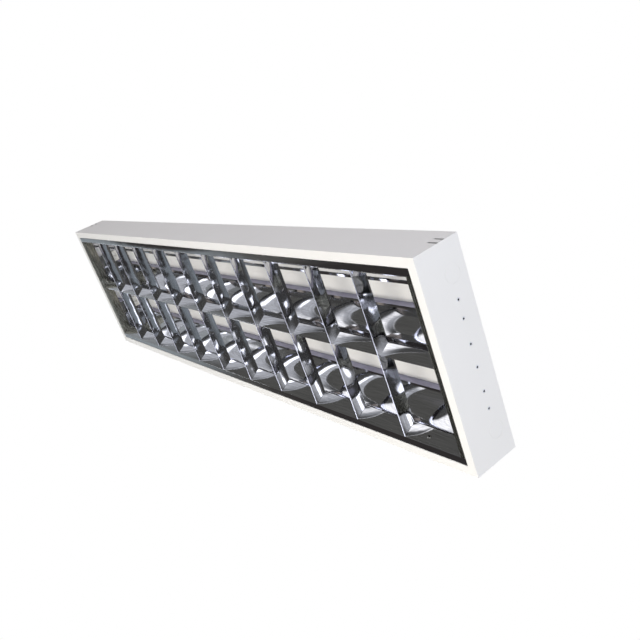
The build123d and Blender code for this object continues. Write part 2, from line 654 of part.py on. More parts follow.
def wire_path(side):
    """Loom of one channel: along the tray, then out to the lampholder at each end."""
    z = up(TRAY_LOW - WIRE_DROP)
    x = HOLDER_FRONT + HOLDER_DEPTH / 2
    y_far = LAMP_Y - HOLDER_RADIUS
    points = [(-x, y_far, z), (-x, WIRE_Y, z), (x, WIRE_Y, z), (x, y_far, z)]
    return FilletPolyline(*[(px, side * py, pz) for px, py, pz in points], radius=WIRE_BEND)


def make_wiring():
    """Twin leads from the ballasts to the lampholders."""
    looms = []
    for side in SIDES:
        path = wire_path(side)
        start = Plane(origin=path @ 0, z_dir=path % 0)
        looms.append(sweep(start * Circle(WIRE_DIAMETER / 2), path=path))
    return group(looms)


def make_wire_clips():
    """Moulded clips that hold the looms under the tray."""
    h = TRAY_LOW - WIRE_DROP
    bore = WIRE_DIAMETER / 2 + FIT / 2
    reach = WIRE_DIAMETER / 2 + CLIP_WALL
    clips = []
    for place in CLIP_PLACES:
        x0, x1 = place - CLIP_WIDTH / 2, place + CLIP_WIDTH / 2
        for y in (-WIRE_Y, WIRE_Y):
            clip = box(x0, x1, y - reach, y + reach, h - reach, TRAY_LOW) - rod_x(x0, x1, y, h, bore)
            clips += [flip(clip, side) for side in SIDES]
    return group(clips)


# ---------------------------------------------------------------- louvre
def grid_opening(clearance):
    """Trapezium prism that fits between the louvre's side rails."""
    low, high = GRID_LOW, GRID_HEIGHT
    return along_x([(-GRID_Y + clearance, low), (GRID_Y - clearance, low),
                    (GRID_TOP_Y - clearance, high), (-GRID_TOP_Y + clearance, high)], HALF_L)


def rail_wall_y(height):
    """Y of a side rail's mirror wall at a height."""
    return GRID_Y - WALL_SLOPE * (height - GRID_LOW)


def blade_tab(x, side, grow):
    """Tab of a cross blade through a side rail, or the slot for it when grow is positive."""
    y = rail_wall_y(TAB_HEIGHT)
    half, rise = TAB_THICKNESS / 2 + grow, TAB_RISE / 2 + grow
    y0, y1 = side * (y - TAB_ROOT), side * (y + TAB_REACH)
    return box(x - half, x + half, y0, y1, TAB_HEIGHT - rise, TAB_HEIGHT + rise)


def eye_places():
    """x of each hinge."""
    return [side * HINGE_X for side in SIDES]


def make_side_rail(side):
    """Long edge of the louvre: flat flange, slanted mirror wall, stiffening fold."""
    edge = [
        (GRID_TOP_Y + RAIL_FOLD, GRID_HEIGHT), (GRID_TOP_Y, GRID_HEIGHT),
        (GRID_Y, GRID_LOW), (RAIL_EDGE_Y, GRID_LOW),
    ]
    rail = along_x(strip(edge, MIRROR), RAIL_WALL_X)
    rail += box(-RAIL_EDGE_X, RAIL_EDGE_X, GRID_Y, RAIL_EDGE_Y, GRID_LOW, GRID_LOW + MIRROR)
    rail = across(rail, side)
    for x in BLADE_XS:
        rail -= blade_tab(x, side, FIT)
    return rail


def make_hinge_rail():
    """Side rail with rolled eyes that turn on the hinge pins."""
    rail = make_side_rail(-1)
    eye = HINGE_EYE / 2
    ear = eye + HINGE_SIDE_PLAY + HINGE_EAR + HINGE_SIDE_PLAY
    notch_y = HINGE_Y + HINGE_EYE_RADIUS + HINGE_PIN_OFFSET
    for x in eye_places():
        rail -= box(x - ear, x + ear, -RAIL_EDGE_Y, HINGE_Y, GRID_LOW, GRID_LOW + MIRROR)
        for s in SIDES:
            rail -= box(x + s * eye, x + s * ear, -RAIL_EDGE_Y, notch_y, GRID_LOW, GRID_LOW + MIRROR)
        rail += rod_x(x - eye, x + eye, HINGE_Y, HINGE_PIN_HEIGHT, HINGE_EYE_RADIUS)
        rail -= rod_x(x - eye, x + eye, HINGE_Y, HINGE_PIN_HEIGHT, HINGE_PIN / 2 + HINGE_RUN)
    return rail


def make_catch_rail():
    """Side rail with a window in front of each spring catch."""
    rail = make_side_rail(1)
    half, rise = CATCH_WINDOW / 2, CATCH_WINDOW_HEIGHT / 2
    low, high = CATCH_HEIGHT - rise, CATCH_HEIGHT + rise
    for x in (-CATCH_X, CATCH_X):
        rail -= box(x - half, x + half, GRID_TOP_Y, GRID_Y, low, high)
    return rail


def make_end_rail(side):
    """Short edge of the louvre: flange, upright mirror wall, fold."""
    edge = [
        (RAIL_WALL_X + RAIL_FOLD, GRID_HEIGHT), (RAIL_WALL_X, GRID_HEIGHT),
        (RAIL_WALL_X, GRID_LOW), (RAIL_EDGE_X, GRID_LOW),
    ]
    rail = along_y(strip(edge, MIRROR), GRID_Y)
    return flip(rail & grid_opening(0), side)


def make_divider():
    """Centre divider: a V of mirror sheet along the louvre."""
    top, fold = DIVIDER_TOP, DIVIDER_TOP - DIVIDER_FOLD
    edge = [
        (-fold, GRID_HEIGHT), (-top, GRID_HEIGHT), (0, DIVIDER_NOSE),
        (top, GRID_HEIGHT), (fold, GRID_HEIGHT),
    ]
    return along_x(strip(edge, MIRROR), RAIL_WALL_X)


def blade_shape():
    """Coefficients (a, b) of a blade's half width a * t + b * t * t.

    t runs from 0 at the knife edge to 1 at the blade's top.
    """
    half = BLADE_TOP / 2
    middle = half / 2 - BLADE_BULGE
    a = 4 * middle - half
    return a, half - a


def blade_half(t):
    """Half width of a blade at a share t of its height."""
    a, b = blade_shape()
    return a * t + b * t * t


def blade_arc(start, inset):
    """One side of a blade from a share of its height to the top, set in by some millimetres."""
    rise = GRID_HEIGHT - GRID_LOW
    shares = (start, (start + 1) / 2, 1)
    return ThreePointArc(*[(blade_half(t) - inset, up(GRID_LOW + rise * t)) for t in shares])


def blade_outline(start, inset):
    """Face between the two sides of a blade."""
    right = blade_arc(start, inset)
    left = mirror(right, about=Plane.YZ)
    return make_face([right, left, Line(right @ 1, left @ 1)])


def make_blade(x):
    """Cross blade: a V of bowed mirror sheet, notched over the divider, with a tab at each end."""
    a, b = blade_shape()
    start = (math.sqrt(a * a + 4 * b * MIRROR) - a) / (2 * b)
    plane = cross_plane(x)
    hollow = plane * blade_outline(start, MIRROR)
    blade = extrude(plane * blade_outline(0, 0), amount=GRID_Y, both=True)
    blade -= extrude(hollow, amount=GRID_Y, both=True)
    blade &= grid_opening(FIT)
    top = DIVIDER_TOP + FIT
    blade -= along_x([(0, DIVIDER_NOSE - FIT), (top, GRID_HEIGHT), (-top, GRID_HEIGHT)], HALF_L)
    hollow = extrude(hollow, amount=GRID_Y - RAIL_FOLD, both=True)
    for side in SIDES:
        blade += blade_tab(x, side, 0) - hollow
    return blade


def make_hinge_brackets():
    """Two-eared brackets on the lip's upstand."""
    eye = HINGE_EYE / 2
    inner, outer = eye + HINGE_SIDE_PLAY, eye + HINGE_SIDE_PLAY + HINGE_EAR
    clear = HINGE_PIN_HEIGHT + HINGE_EYE_RADIUS + 2 * HINGE_PIN_OFFSET
    brackets = []
    for x in eye_places():
        bracket = box(x - outer, x + outer, -MOUTH_Y, -MOUTH_Y + CATCH_SHEET, clear, LIP_RETURN)
        for s in SIDES:
            x0, x1 = x + s * inner, x + s * outer
            ear = box(x0, x1, -MOUTH_Y, HINGE_Y + HINGE_EYE_RADIUS, GRID_LOW, LIP_RETURN)
            bracket += ear - rod_x(x0, x1, HINGE_Y, HINGE_PIN_HEIGHT, HINGE_PIN / 2)
        brackets.append(bracket)
    return group(brackets)


def make_hinge_pins():
    """Pins between the brackets' ears."""
    reach = HINGE_EYE / 2 + HINGE_SIDE_PLAY + HINGE_EAR
    radius = HINGE_PIN / 2
    return group([
        rod_x(x - reach, x + reach, HINGE_Y, HINGE_PIN_HEIGHT, radius) for x in eye_places()
    ])


def make_catches():
    """Leaf springs on the lip's upstand that press on the louvre's rail."""
    wall = rail_wall_y(CATCH_HEIGHT) + MIRROR * 1.5
    root = MOUTH_Y - CATCH_SHEET
    out, down = CATCH_TAIL
    edge = [
        (root, CATCH_ROOT), (root, CATCH_HEIGHT + CATCH_BEND),
        (wall + CATCH_PLAY, CATCH_HEIGHT), (wall + out, CATCH_HEIGHT - down),
    ]
    springs = []
    for s in SIDES:
        spring = along_x(strip(list(reversed(edge)), CATCH_SHEET), CATCH_WIDTH / 2)
        springs.append(Pos(s * CATCH_X, 0, 0) * spring)
    return group(springs)


# ---------------------------------------------------------------- all nodes
def main():
    """Build every node and write it."""
    save("housing", make_housing())
    for name, side in (("right", 1), ("left", -1)):
        save(f"end_cap_{name}", make_end_cap(side))
        save(f"mirror_end_plate_{name}", make_end_plate(side))
        save(f"louvre_end_rail_{name}", make_end_rail(side))
        save(f"ballast_{name}", make_ballast(side))
        save(f"starter_holder_{name}", make_starter_holder(side))
        save(f"starter_{name}", make_starter(side))
        for row, channel in (("a", -1), ("b", 1)):
            save(f"lampholder_bracket_{name}_{row}", make_bracket(side, channel))
            save(f"lampholder_{name}_{row}", make_lampholder(side, channel))
            save(f"lamp_rotor_{name}_{row}", make_rotor(side, channel))
    save("end_rivets", make_end_rivets())
    save("outer_mirror_a", make_outer_mirror(-1))
    save("outer_mirror_b", make_outer_mirror(1))
    save("gear_cover", make_gear_cover())
    save("mirror_screws", make_mirror_screws())
    save("lamp_contacts", make_contacts())
    save("gear_tray", make_gear_tray())
    save("ballast_terminals", make_ballast_terminals())
    save("capacitor", make_capacitor())
    save("capacitor_clip", make_capacitor_clip())
    save("terminal_block", make_terminal_block())
    save("terminal_screws", make_terminal_screws())
    save("cable_grommet", make_grommet())
    save("earth_stud", make_earth_stud())
    save("channel_wiring", make_wiring())
    save("wire_clips", make_wire_clips())
    save("louvre_hinge_rail", make_hinge_rail())
    save("louvre_catch_rail", make_catch_rail())
    save("louvre_divider", make_divider())
    for number, x in enumerate(BLADE_XS, start=1):
        save(f"cross_blade_{number:02d}", make_blade(x))
    save("hinge_brackets", make_hinge_brackets())
    save("hinge_pins", make_hinge_pins())
    save("louvre_catches", make_catches())


main()
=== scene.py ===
"""Recessed troffer luminaire for two lamps: white steel box with a drop-down mirror louvre.

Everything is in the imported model's frame: X along the box, Y across it, Z up into the ceiling, in
metres, with the origin in the middle of the back.  Sizes in the classes are millimetres unless they
say otherwise, and heights are taken from the visible face.
"""
from __future__ import annotations

import logging
import math
from dataclasses import dataclass
from enum import Enum

import bpy
import numpy as np
from bpy.types import Material, Mesh, Node, NodeSocket, NodeTree, Object
from mathutils import Matrix

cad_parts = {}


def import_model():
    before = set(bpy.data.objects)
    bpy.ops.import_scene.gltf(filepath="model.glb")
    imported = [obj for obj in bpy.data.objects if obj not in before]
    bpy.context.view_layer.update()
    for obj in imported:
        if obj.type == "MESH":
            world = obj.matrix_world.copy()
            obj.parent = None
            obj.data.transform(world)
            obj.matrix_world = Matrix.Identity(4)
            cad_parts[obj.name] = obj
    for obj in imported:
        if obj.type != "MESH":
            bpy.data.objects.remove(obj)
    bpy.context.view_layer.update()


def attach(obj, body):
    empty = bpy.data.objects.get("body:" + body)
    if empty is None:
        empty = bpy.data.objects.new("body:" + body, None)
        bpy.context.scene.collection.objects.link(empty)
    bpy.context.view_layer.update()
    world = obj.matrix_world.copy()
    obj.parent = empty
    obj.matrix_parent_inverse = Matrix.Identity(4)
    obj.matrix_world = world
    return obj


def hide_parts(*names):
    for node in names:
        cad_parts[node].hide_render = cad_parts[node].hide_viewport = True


LOG = logging.getLogger("troffer")
MM = 0.001        # millimetre in metres
DEPTH = 75.0      # visible face to back, in millimetres
PICTURE = 640     # width of the photograph in pixels
TOUCH = 1e-6      # tolerance of a height, in millimetres
SAME_POINT = 1e-4     # points of a path that are closer than this are one
SAME_STATION = 0.02   # stations along X that are closer than this are one
NEARLY_STRAIGHT = 0.02  # a corner within twice this of straight, in radians, is not rounded


# ---- helpers
def linear(colour: str) -> tuple[float, float, float, float]:
    """Turn an sRGB hex colour into linear light.

    Args:
        colour: Hex digits, with or without a leading hash.

    Returns:
        Linear red, green, blue and an alpha of 1.
    """
    digits = colour.lstrip("#")
    parts = np.array([int(digits[i:i + 2], 16) for i in (0, 2, 4)]) / 255.0
    light = np.where(parts <= 0.04045, parts / 12.92, ((parts + 0.055) / 1.055) ** 2.4)
    return (*(float(v) for v in light), 1.0)


def add(tree: NodeTree, kind: str, links: dict | None = None,
        **settings: str) -> Node:
    """Add one node with its settings, input values and links.

    Args:
        tree: Node tree of a material or the world.
        kind: Blender's identifier of the node.
        links: Input name or number to a value or to another node's output.
        settings: Attributes of the node.

    Returns:
        The new node.
    """
    node = tree.nodes.new(kind)
    for key, value in settings.items():
        setattr(node, key, value)
    for key, value in (links or {}).items():
        if isinstance(value, NodeSocket):
            tree.links.new(value, node.inputs[key])
        else:
            node.inputs[key].default_value = value
    return node


def fresh_material(name: str) -> tuple[Material, NodeTree]:
    """Make an empty node material.

    Args:
        name: Name of the finish.

    Returns:
        The material and its node tree.
    """
    material = bpy.data.materials.new(name)
    material.use_nodes = True
    material.node_tree.nodes.clear()
    return material, material.node_tree


# ---- finishes
@dataclass(frozen=True)
class PaintedSteel:
    """Folded steel with a baked white coat: even, slightly soft gloss, with a fine orange peel."""

    name: str = "baked_white_enamel_on_steel"
    tone: str = "#f5f4f0"
    shade: str = "#eeede8"
    drift: float = 180.0
    peel: float = 1.6
    peel_height: float = 0.05
    smoothest: float = 0.36
    roughest: float = 0.5

    def material(self) -> Material:
        """Build the coat's nodes."""
        material, tree = fresh_material(self.name)
        place = add(tree, "ShaderNodeTexCoord").outputs["Object"]
        drift = add(tree, "ShaderNodeTexNoise", {
            "Vector": place, "Scale": 1 / (self.drift * MM), "Detail": 3.0,
        })
        peel = add(tree, "ShaderNodeTexNoise", {
            "Vector": place, "Scale": 1 / (self.peel * MM), "Detail": 2.0,
        })
        tone = add(tree, "ShaderNodeMix", {
            "Factor": drift.outputs["Fac"], "A": linear(self.tone), "B": linear(self.shade),
        }, data_type="RGBA")
        gloss = add(tree, "ShaderNodeMapRange", {
            "Value": drift.outputs["Fac"], "To Min": self.smoothest, "To Max": self.roughest,
        })
        bump = add(tree, "ShaderNodeBump", {
            "Height": peel.outputs["Fac"], "Strength": 0.12, "Distance": self.peel_height * MM,
        })
        shader = add(tree, "ShaderNodeBsdfPrincipled", {
            "Base Color": tone.outputs["Result"], "Roughness": gloss.outputs["Result"],
            "Normal": bump.outputs["Normal"], "IOR": 1.5,
        })
        add(tree, "ShaderNodeOutputMaterial", {"Surface": shader.outputs["BSDF"]})
        return material


class Grain(Enum):
    """Direction in which a mirror sheet was rolled: lengths of a streak along X, Y and Z."""

    ALONG = (40.0, 0.9, 0.9)
    ACROSS = (0.9, 40.0, 0.9)


@dataclass(frozen=True)
class MirrorSheet:
    """Rolled and anodised aluminium mirror: sharp reflections, rolling lines and slow waves."""

    name: str
    grain: Grain
    tone: str = "#e4e5ea"
    shade: str = "#c6c7cb"
    roughness: float = 0.05
    wave: float = 34.0
    wave_height: float = 0.16
    line_height: float = 0.0015
    dull_share: float = 1.8
    bright_share: float = 0.5

    def material(self) -> Material:
        """Build the sheet's nodes: lines a millimetre apart and waves some centimetres long."""
        material, tree = fresh_material(self.name)
        place = add(tree, "ShaderNodeTexCoord").outputs["Object"]
        stretch = add(tree, "ShaderNodeMapping", {
            "Vector": place, "Scale": tuple(1 / (length * MM) for length in self.grain.value),
        })
        lines = add(tree, "ShaderNodeTexNoise", {
            "Vector": stretch.outputs["Vector"], "Scale": 1.0, "Detail": 4.0, "Roughness": 0.6,
        })
        waves = add(tree, "ShaderNodeTexNoise", {
            "Vector": place, "Scale": 1 / (self.wave * MM), "Detail": 1.5, "Roughness": 0.4,
        })
        streak = add(tree, "ShaderNodeMapRange", {
            "Value": lines.outputs["Fac"], "From Min": 0.3, "From Max": 0.6,
        })
        tone = add(tree, "ShaderNodeMix", {
            "Factor": streak.outputs["Result"], "A": linear(self.shade), "B": linear(self.tone),
        }, data_type="RGBA")
        gloss = add(tree, "ShaderNodeMapRange", {
            "Value": streak.outputs["Result"], "To Min": self.roughness * self.dull_share,
            "To Max": self.roughness * self.bright_share,
        })
        slow = add(tree, "ShaderNodeBump", {
            "Height": waves.outputs["Fac"], "Strength": 1.0, "Distance": self.wave_height * MM,
        })
        fine = add(tree, "ShaderNodeBump", {
            "Height": lines.outputs["Fac"], "Strength": 1.0, "Distance": self.line_height * MM,
            "Normal": slow.outputs["Normal"],
        })
        shader = add(tree, "ShaderNodeBsdfPrincipled", {
            "Base Color": tone.outputs["Result"], "Metallic": 1.0,
            "Roughness": gloss.outputs["Result"], "Normal": fine.outputs["Normal"],
        })
        add(tree, "ShaderNodeOutputMaterial", {"Surface": shader.outputs["BSDF"]})
        return material


@dataclass(frozen=True)
class Plain:
    """A part's own finish or a painted shade: two tones in a real-size pattern, its gloss and a
    fine bump.
    """

    name: str
    tone: str
    shade: str
    grain: float
    roughness: float
    metallic: float = 0.0
    bump: float = 0.02
    flecks: bool = False
    spread: float = 0.15

    def material(self) -> Material:
        """Build the nodes: flecks are cells, as in zinc spangle, the other pattern is a cloud."""
        material, tree = fresh_material(self.name)
        place = add(tree, "ShaderNodeTexCoord").outputs["Object"]
        if self.flecks:
            cells = add(tree, "ShaderNodeTexVoronoi", {
                "Vector": place, "Scale": 1 / (self.grain * MM),
            })
            split = add(tree, "ShaderNodeSeparateColor", {"Color": cells.outputs["Color"]})
            pattern = split.outputs["Red"]
        else:
            cloud = add(tree, "ShaderNodeTexNoise", {
                "Vector": place, "Scale": 1 / (self.grain * MM), "Detail": 3.0,
            })
            pattern = cloud.outputs["Fac"]
        tone = add(tree, "ShaderNodeMix", {
            "Factor": pattern, "A": linear(self.tone), "B": linear(self.shade),
        }, data_type="RGBA")
        gloss = add(tree, "ShaderNodeMapRange", {
            "Value": pattern, "To Min": self.roughness * (1 - self.spread),
            "To Max": self.roughness * (1 + self.spread),
        })
        bump = add(tree, "ShaderNodeBump", {
            "Height": pattern, "Strength": 0.3, "Distance": self.bump * MM,
        })
        shader = add(tree, "ShaderNodeBsdfPrincipled", {
            "Base Color": tone.outputs["Result"], "Metallic": self.metallic,
            "Roughness": gloss.outputs["Result"], "Normal": bump.outputs["Normal"],
        })
        add(tree, "ShaderNodeOutputMaterial", {"Surface": shader.outputs["BSDF"]})
        return material


# ---- mesh code
def skin(name: str, points: np.ndarray, faces: list, material: Material, body: str,
         sharp: float = 30.0) -> Object:
    """Make a piece from points and faces, smooth except at folds.

    Args:
        name: Name of the piece.
        points: Array of x, y and height above the face, in millimetres.
        faces: Lists of point numbers, facing outwards.
        material: The piece's finish.
        body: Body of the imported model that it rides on.
        sharp: Angle in degrees above which an edge is a fold.

    Returns:
        The new object, which sits at the origin.
    """
    place = np.asarray(points, float).reshape(-1, 3) * MM
    place[:, 2] -= DEPTH * MM
    mesh = bpy.data.meshes.new(name)
    mesh.from_pydata(place.tolist(), [], [list(map(int, face)) for face in faces])
    mesh.polygons.foreach_set("use_smooth", np.ones(len(mesh.polygons), bool))
    mesh.set_sharp_from_angle(angle=math.radians(sharp))
    mesh.materials.append(material)
    mesh.update()
    piece = bpy.data.objects.new(name, mesh)
    bpy.context.scene.collection.objects.link(piece)
    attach(piece, body)
    LOG.info("%s: %d faces, rides on %s", name, len(faces), body)
    return piece


def shell(front: np.ndarray, back: np.ndarray, keep: np.ndarray | None = None,
          holes: tuple = ()) -> tuple[np.ndarray, list]:
    """Make a closed sheet from two grids: quad (i, j) joins rows i, i + 1 and columns j, j + 1.

    Each kept quad has a front and a back face, and an edge face on each side where its neighbour is
    left out.  A round hole replaces its block of quads with a ring: vertex k of the block's rim
    joins the point of the circle at the same angle about the block's middle.

    Args:
        front: Rows x columns x 3 points.
        back: The same points on the other side of the sheet.
        keep: Rows - 1 x columns - 1 mask of the quads that are there.
        holes: Tuples of first row, last row, first column, last column and the hole's radius.

    Returns:
        Points and faces.
    """
    rows, columns = front.shape[:2]
    state = np.ones((rows - 1, columns - 1), int) if keep is None else keep.astype(int)
    for i0, i1, j0, j1, _ in holes:
        state[i0:i1, j0:j1] = 2
    far = rows * columns
    points = [front.reshape(-1, 3), back.reshape(-1, 3)]
    number = np.arange(far).reshape(rows, columns)
    i, j = np.nonzero(state == 1)
    corners = (number[i, j], number[i, j + 1], number[i + 1, j + 1], number[i + 1, j])
    quads = np.stack(corners, axis=-1)
    faces = quads.tolist() + (quads[:, ::-1] + far).tolist()
    padded = np.pad(state, 1)
    for k, (di, dj) in enumerate(((-1, 0), (0, 1), (1, 0), (0, -1))):
        open_side = padded[i + 1 + di, j + 1 + dj] == 0
        p, q = quads[open_side, k], quads[open_side, (k + 1) % 4]
        faces += np.stack([q, p, p + far, q + far], axis=-1).tolist()
    total = 2 * far
    for i0, i1, j0, j1, radius in holes:
        rim = np.concatenate([
            number[i0, j0:j1], number[i0:i1, j1], number[i1, j1:j0:-1], number[i1:i0:-1, j0],
        ])
        count = len(rim)
        k = np.arange(count)
        after = (k + 1) % count
        for offset, grid in ((0, front), (far, back)):
            edge = grid.reshape(-1, 3)[rim]
            middle = (edge.min(axis=0) + edge.max(axis=0)) / 2
            way = edge - middle
            points.append(middle + radius * way / np.linalg.norm(way, axis=1, keepdims=True))
            ring = np.stack([rim + offset, rim[after] + offset, total + after, total + k], axis=-1)
            faces += (ring if offset == 0 else ring[:, ::-1]).tolist()
            total += count
        inner, outer = total - 2 * count, total - count
        faces += np.stack([inner + k, inner + after, outer + after, outer + k], axis=-1).tolist()
    return outward(np.vstack(points), np.array(faces))


def outward(points: np.ndarray, quads: np.ndarray) -> tuple[np.ndarray, list]:
    """Drop unused points and turn a closed shell's faces outwards.

    Args:
        points: All points.
        quads: Faces of four corners, all turned the same way.

    Returns:
        Points and faces.  Six times the volume, which is the sum of p0 . (p1 x p2 + p2 x p3) over
        the faces, is positive.
    """
    used, order = np.unique(quads, return_inverse=True)
    points, quads = points[used], order.reshape(quads.shape)
    p = points[quads]
    volume = np.sum(p[:, 0] * (np.cross(p[:, 1], p[:, 2]) + np.cross(p[:, 2], p[:, 3])))
    return points, (quads if volume > 0 else quads[:, ::-1]).tolist()


def thickened(path: np.ndarray, thickness: float) -> np.ndarray:
    """Offset an open path to its left: each point moves along the mitre of its two runs' normals.

    Args:
        path: Points of one side of the sheet.
        thickness: Thickness in millimetres.

    Returns:
        The points of the sheet's other side.
    """
    step = np.diff(path, axis=0)
    step /= np.linalg.norm(step, axis=1, keepdims=True)
    normal = np.column_stack([-step[:, 1], step[:, 0]])
    first, last = np.vstack([normal[:1], normal]), np.vstack([normal, normal[-1:]])
    mitre = (first + last) / (1 + np.sum(first * last, axis=1, keepdims=True))
    return path + mitre * thickness


def rounded(path: np.ndarray, radius: float, count: int = 6) -> np.ndarray:
    """Round the bends of an open path with arcs that touch both runs.

    Args:
        path: Corner points.
        radius: Bend radius in millimetres.
        count: Points on each arc.

    Returns:
        The path with its inner corners replaced by arcs.
    """
    straight = math.pi / 2 - NEARLY_STRAIGHT
    path = np.asarray(path, float)
    made = [path[:1]]
    for before, corner, after in zip(path[:-2], path[1:-1], path[2:]):
        a, b = before - corner, after - corner
        reach_a, reach_b = np.linalg.norm(a), np.linalg.norm(b)
        a, b = a / reach_a, b / reach_b
        half = math.acos(float(np.clip(a @ b, -1, 1))) / 2
        if half > straight:
            made.append(corner[None])
            continue
        cut = min(radius / math.tan(half), 0.45 * reach_a, 0.45 * reach_b)
        centre = corner + (a + b) / np.linalg.norm(a + b) * cut / math.cos(half)
        start, end = corner + a * cut - centre, corner + b * cut - centre
        cosine = start @ end / (np.linalg.norm(start) * np.linalg.norm(end))
        angle = math.acos(float(np.clip(cosine, -1, 1)))
        share = np.linspace(0, 1, count)[:, None]
        swing = np.sin((1 - share) * angle) * start + np.sin(share * angle) * end
        made.append(centre + swing / math.sin(angle))
    return np.vstack(made + [path[-1:]])


def bowed(start: tuple, end: tuple, bow: float, count: int = 9) -> np.ndarray:
    """Line between two points, bowed to its left: offset 4 * bow * t * (1 - t) at share t.

    Args:
        start: First point.
        end: Last point.
        bow: Offset at the middle in millimetres.
        count: Points on the line, with both ends.

    Returns:
        The points.
    """
    start, end = np.asarray(start, float), np.asarray(end, float)
    t = np.linspace(0, 1, count)[:, None]
    way = (end - start) / np.linalg.norm(end - start)
    return start + (end - start) * t + np.array([-way[1], way[0]]) * 4 * bow * t * (1 - t)


def along_x(path: np.ndarray, stations: np.ndarray) -> np.ndarray:
    """Grid of a path of (y, height) at stations along X."""
    rows = [np.column_stack([np.full(len(path), x), path]) for x in stations]
    return np.array(rows)


def tube(x0: float, x1: float, y: float, height: float, radii: tuple[float, float],
         count: int = 21) -> tuple[np.ndarray, list]:
    """Make a hollow bar along X: point k of each ring is at the angle 2 pi k / (count - 1).

    Args:
        x0: One end.
        x1: Other end.
        y: Axis across the luminaire.
        height: Axis above the face.
        radii: Outer and inner radius.
        count: Points on a ring, of which the first and the last meet.

    Returns:
        Points and faces.
    """
    turn = np.linspace(0, 2 * np.pi, count)
    rings = [np.column_stack([y + r * np.cos(turn), height + r * np.sin(turn)]) for r in radii]
    return shell(along_x(rings[0], [x0, x1]), along_x(rings[1], [x0, x1]))


def joined(*parts: tuple[np.ndarray, list]) -> tuple[np.ndarray, list]:
    """Put several meshes into one, each point kept once."""
    points, faces, first = [], [], 0
    for part_points, part_faces in parts:
        points.append(part_points)
        faces += [[int(v) + first for v in face] for face in part_faces]
        first += len(part_points)
    return np.vstack(points), faces


def block(x: tuple, y: tuple, height: tuple) -> tuple[np.ndarray, list]:
    """Box between two corners."""
    grid = np.array([[[x[i], y[j], height[1]] for j in (0, 1)] for i in (1, 0)], float)
    low = grid.copy()
    low[..., 2] = height[0]
    return shell(grid, low)


# ---- sub-assemblies
@dataclass
class FixedMirrors:
    """Curved mirrors beside the lamps, above the louvre, and the flat over the gear between them.

    The sheet is rolled along the luminaire; lip is a painted shade on the lips beside the lamp
    slots.
    """

    material: Material
    lip: Material
    half_length: float = 600.5
    stations: int = 13
    lamp_y: float = 65.0
    low: float = 22.3
    mouth: float = 51.6
    slot: float = 17.5
    slot_height: float = 62.0
    back: float = 74.3
    flange: float = 9.0
    fold: float = 5.0
    sheet: float = 0.4
    lip_bend: float = 0.8
    lip_reach: float = 1.0
    lean_low: float = 21.0
    lean_high: float = 41.0
    pull: float = 0.33
    shoulder: float = 4.0
    shoulder_drop: float = 0.4
    starter_x: float = 500.0
    starter_hole: float = 11.2
    hole_block: float = 12.6
    hole_stations: int = 9
    middle_reach: float = 400.0
    middle_stations: int = 9

    def curve(self, count: int = 36) -> np.ndarray:
        """Cubic curve of one channel side: (half width, height) from the louvre to the lamp slot.

        Args:
            count: Points on the curve.

        Returns:
            Points, where the curve leaves and arrives off the vertical by the two leans.
        """
        start = np.array([self.mouth, self.low])
        end = np.array([self.slot + self.shoulder, self.slot_height - self.shoulder_drop])
        reach = np.linalg.norm(end - start) * self.pull
        lean = np.radians([self.lean_low, self.lean_high])
        leave = start + reach * np.array([-math.sin(lean[0]), math.cos(lean[0])])
        arrive = end - reach * np.array([-math.sin(lean[1]), math.cos(lean[1])])
        t = np.linspace(0, 1, count)[:, None]
        near = (1 - t) ** 3 * start + 3 * (1 - t) ** 2 * t * leave
        return near + 3 * (1 - t) * t ** 2 * arrive + t ** 3 * end

    def side(self) -> np.ndarray:
        """Path of one mirror about its lamp: curve, shallow shoulder, upright lip and flange."""
        top = np.array([
            (self.slot, self.slot_height), (self.slot, self.back),
            (self.slot + self.flange, self.back),
        ])
        return np.vstack([self.curve(), rounded(top, self.lip_bend)])

    def outer(self, name: str, sign: int) -> None:
        """Make one outer mirror.

        Args:
            name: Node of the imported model.
            sign: -1 for the hinge side, 1 for the catch side.
        """
        stations = np.linspace(-self.half_length, self.half_length, self.stations)
        path = np.vstack([[(self.mouth + self.fold, self.low)], self.side()]) + (self.lamp_y, 0)
        rear = thickened(path, -self.sheet)
        front, back = along_x(path * (sign, 1), stations), along_x(rear * (sign, 1), stations)
        piece = skin(f"{name}_sheet", *shell(front, back), self.material, "box")
        self.paint_lip_shade(piece)
        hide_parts(name)

    def gear_cover(self) -> None:
        """Make the mirror over the gear: two channel sides, and a flat with two starter holes."""
        side, count = self.side(), self.hole_stations
        spread = np.linspace(-self.hole_block, self.hole_block, count)
        flat = np.column_stack([spread, np.full(count, self.low)])
        path = np.vstack([side[::-1] - (self.lamp_y, 0), flat, side * (-1, 1) + (self.lamp_y, 0)])
        rear = thickened(path, self.sheet)
        stations = np.concatenate([
            [-self.half_length], spread - self.starter_x,
            np.linspace(-self.middle_reach, self.middle_reach, self.middle_stations),
            spread + self.starter_x, [self.half_length],
        ])
        first, last = len(side), len(side) + count - 1
        rows = (1, 1 + count + self.middle_stations)
        holes = tuple((i, i + count - 1, first, last, self.starter_hole) for i in rows)
        front, back = along_x(path, stations), along_x(rear, stations)
        piece = skin("gear_cover_sheet", *shell(front, back, holes=holes), self.material, "box")
        self.paint_lip_shade(piece)
        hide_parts("gear_cover")

    def paint_lip_shade(self, piece: Object) -> None:
        """Paint shade on the upright lips of a mirror: their faces take the darker lilac-grey lip
        material.
        """
        piece.data.materials.append(self.lip)
        limit = (self.slot_height - DEPTH) * MM
        # painted shade: faces of the upright lips beside the slots take the lilac-grey second
        # material
        for face in piece.data.polygons:
            off = abs(abs(face.center.y) / MM - self.lamp_y)
            if face.center.z > limit and abs(off - self.slot) < self.lip_reach:
                face.material_index = 1

    def build(self) -> None:
        """Make both outer mirrors and the gear cover."""
        self.outer("outer_mirror_a", -1)
        self.outer("outer_mirror_b", 1)
        self.gear_cover()


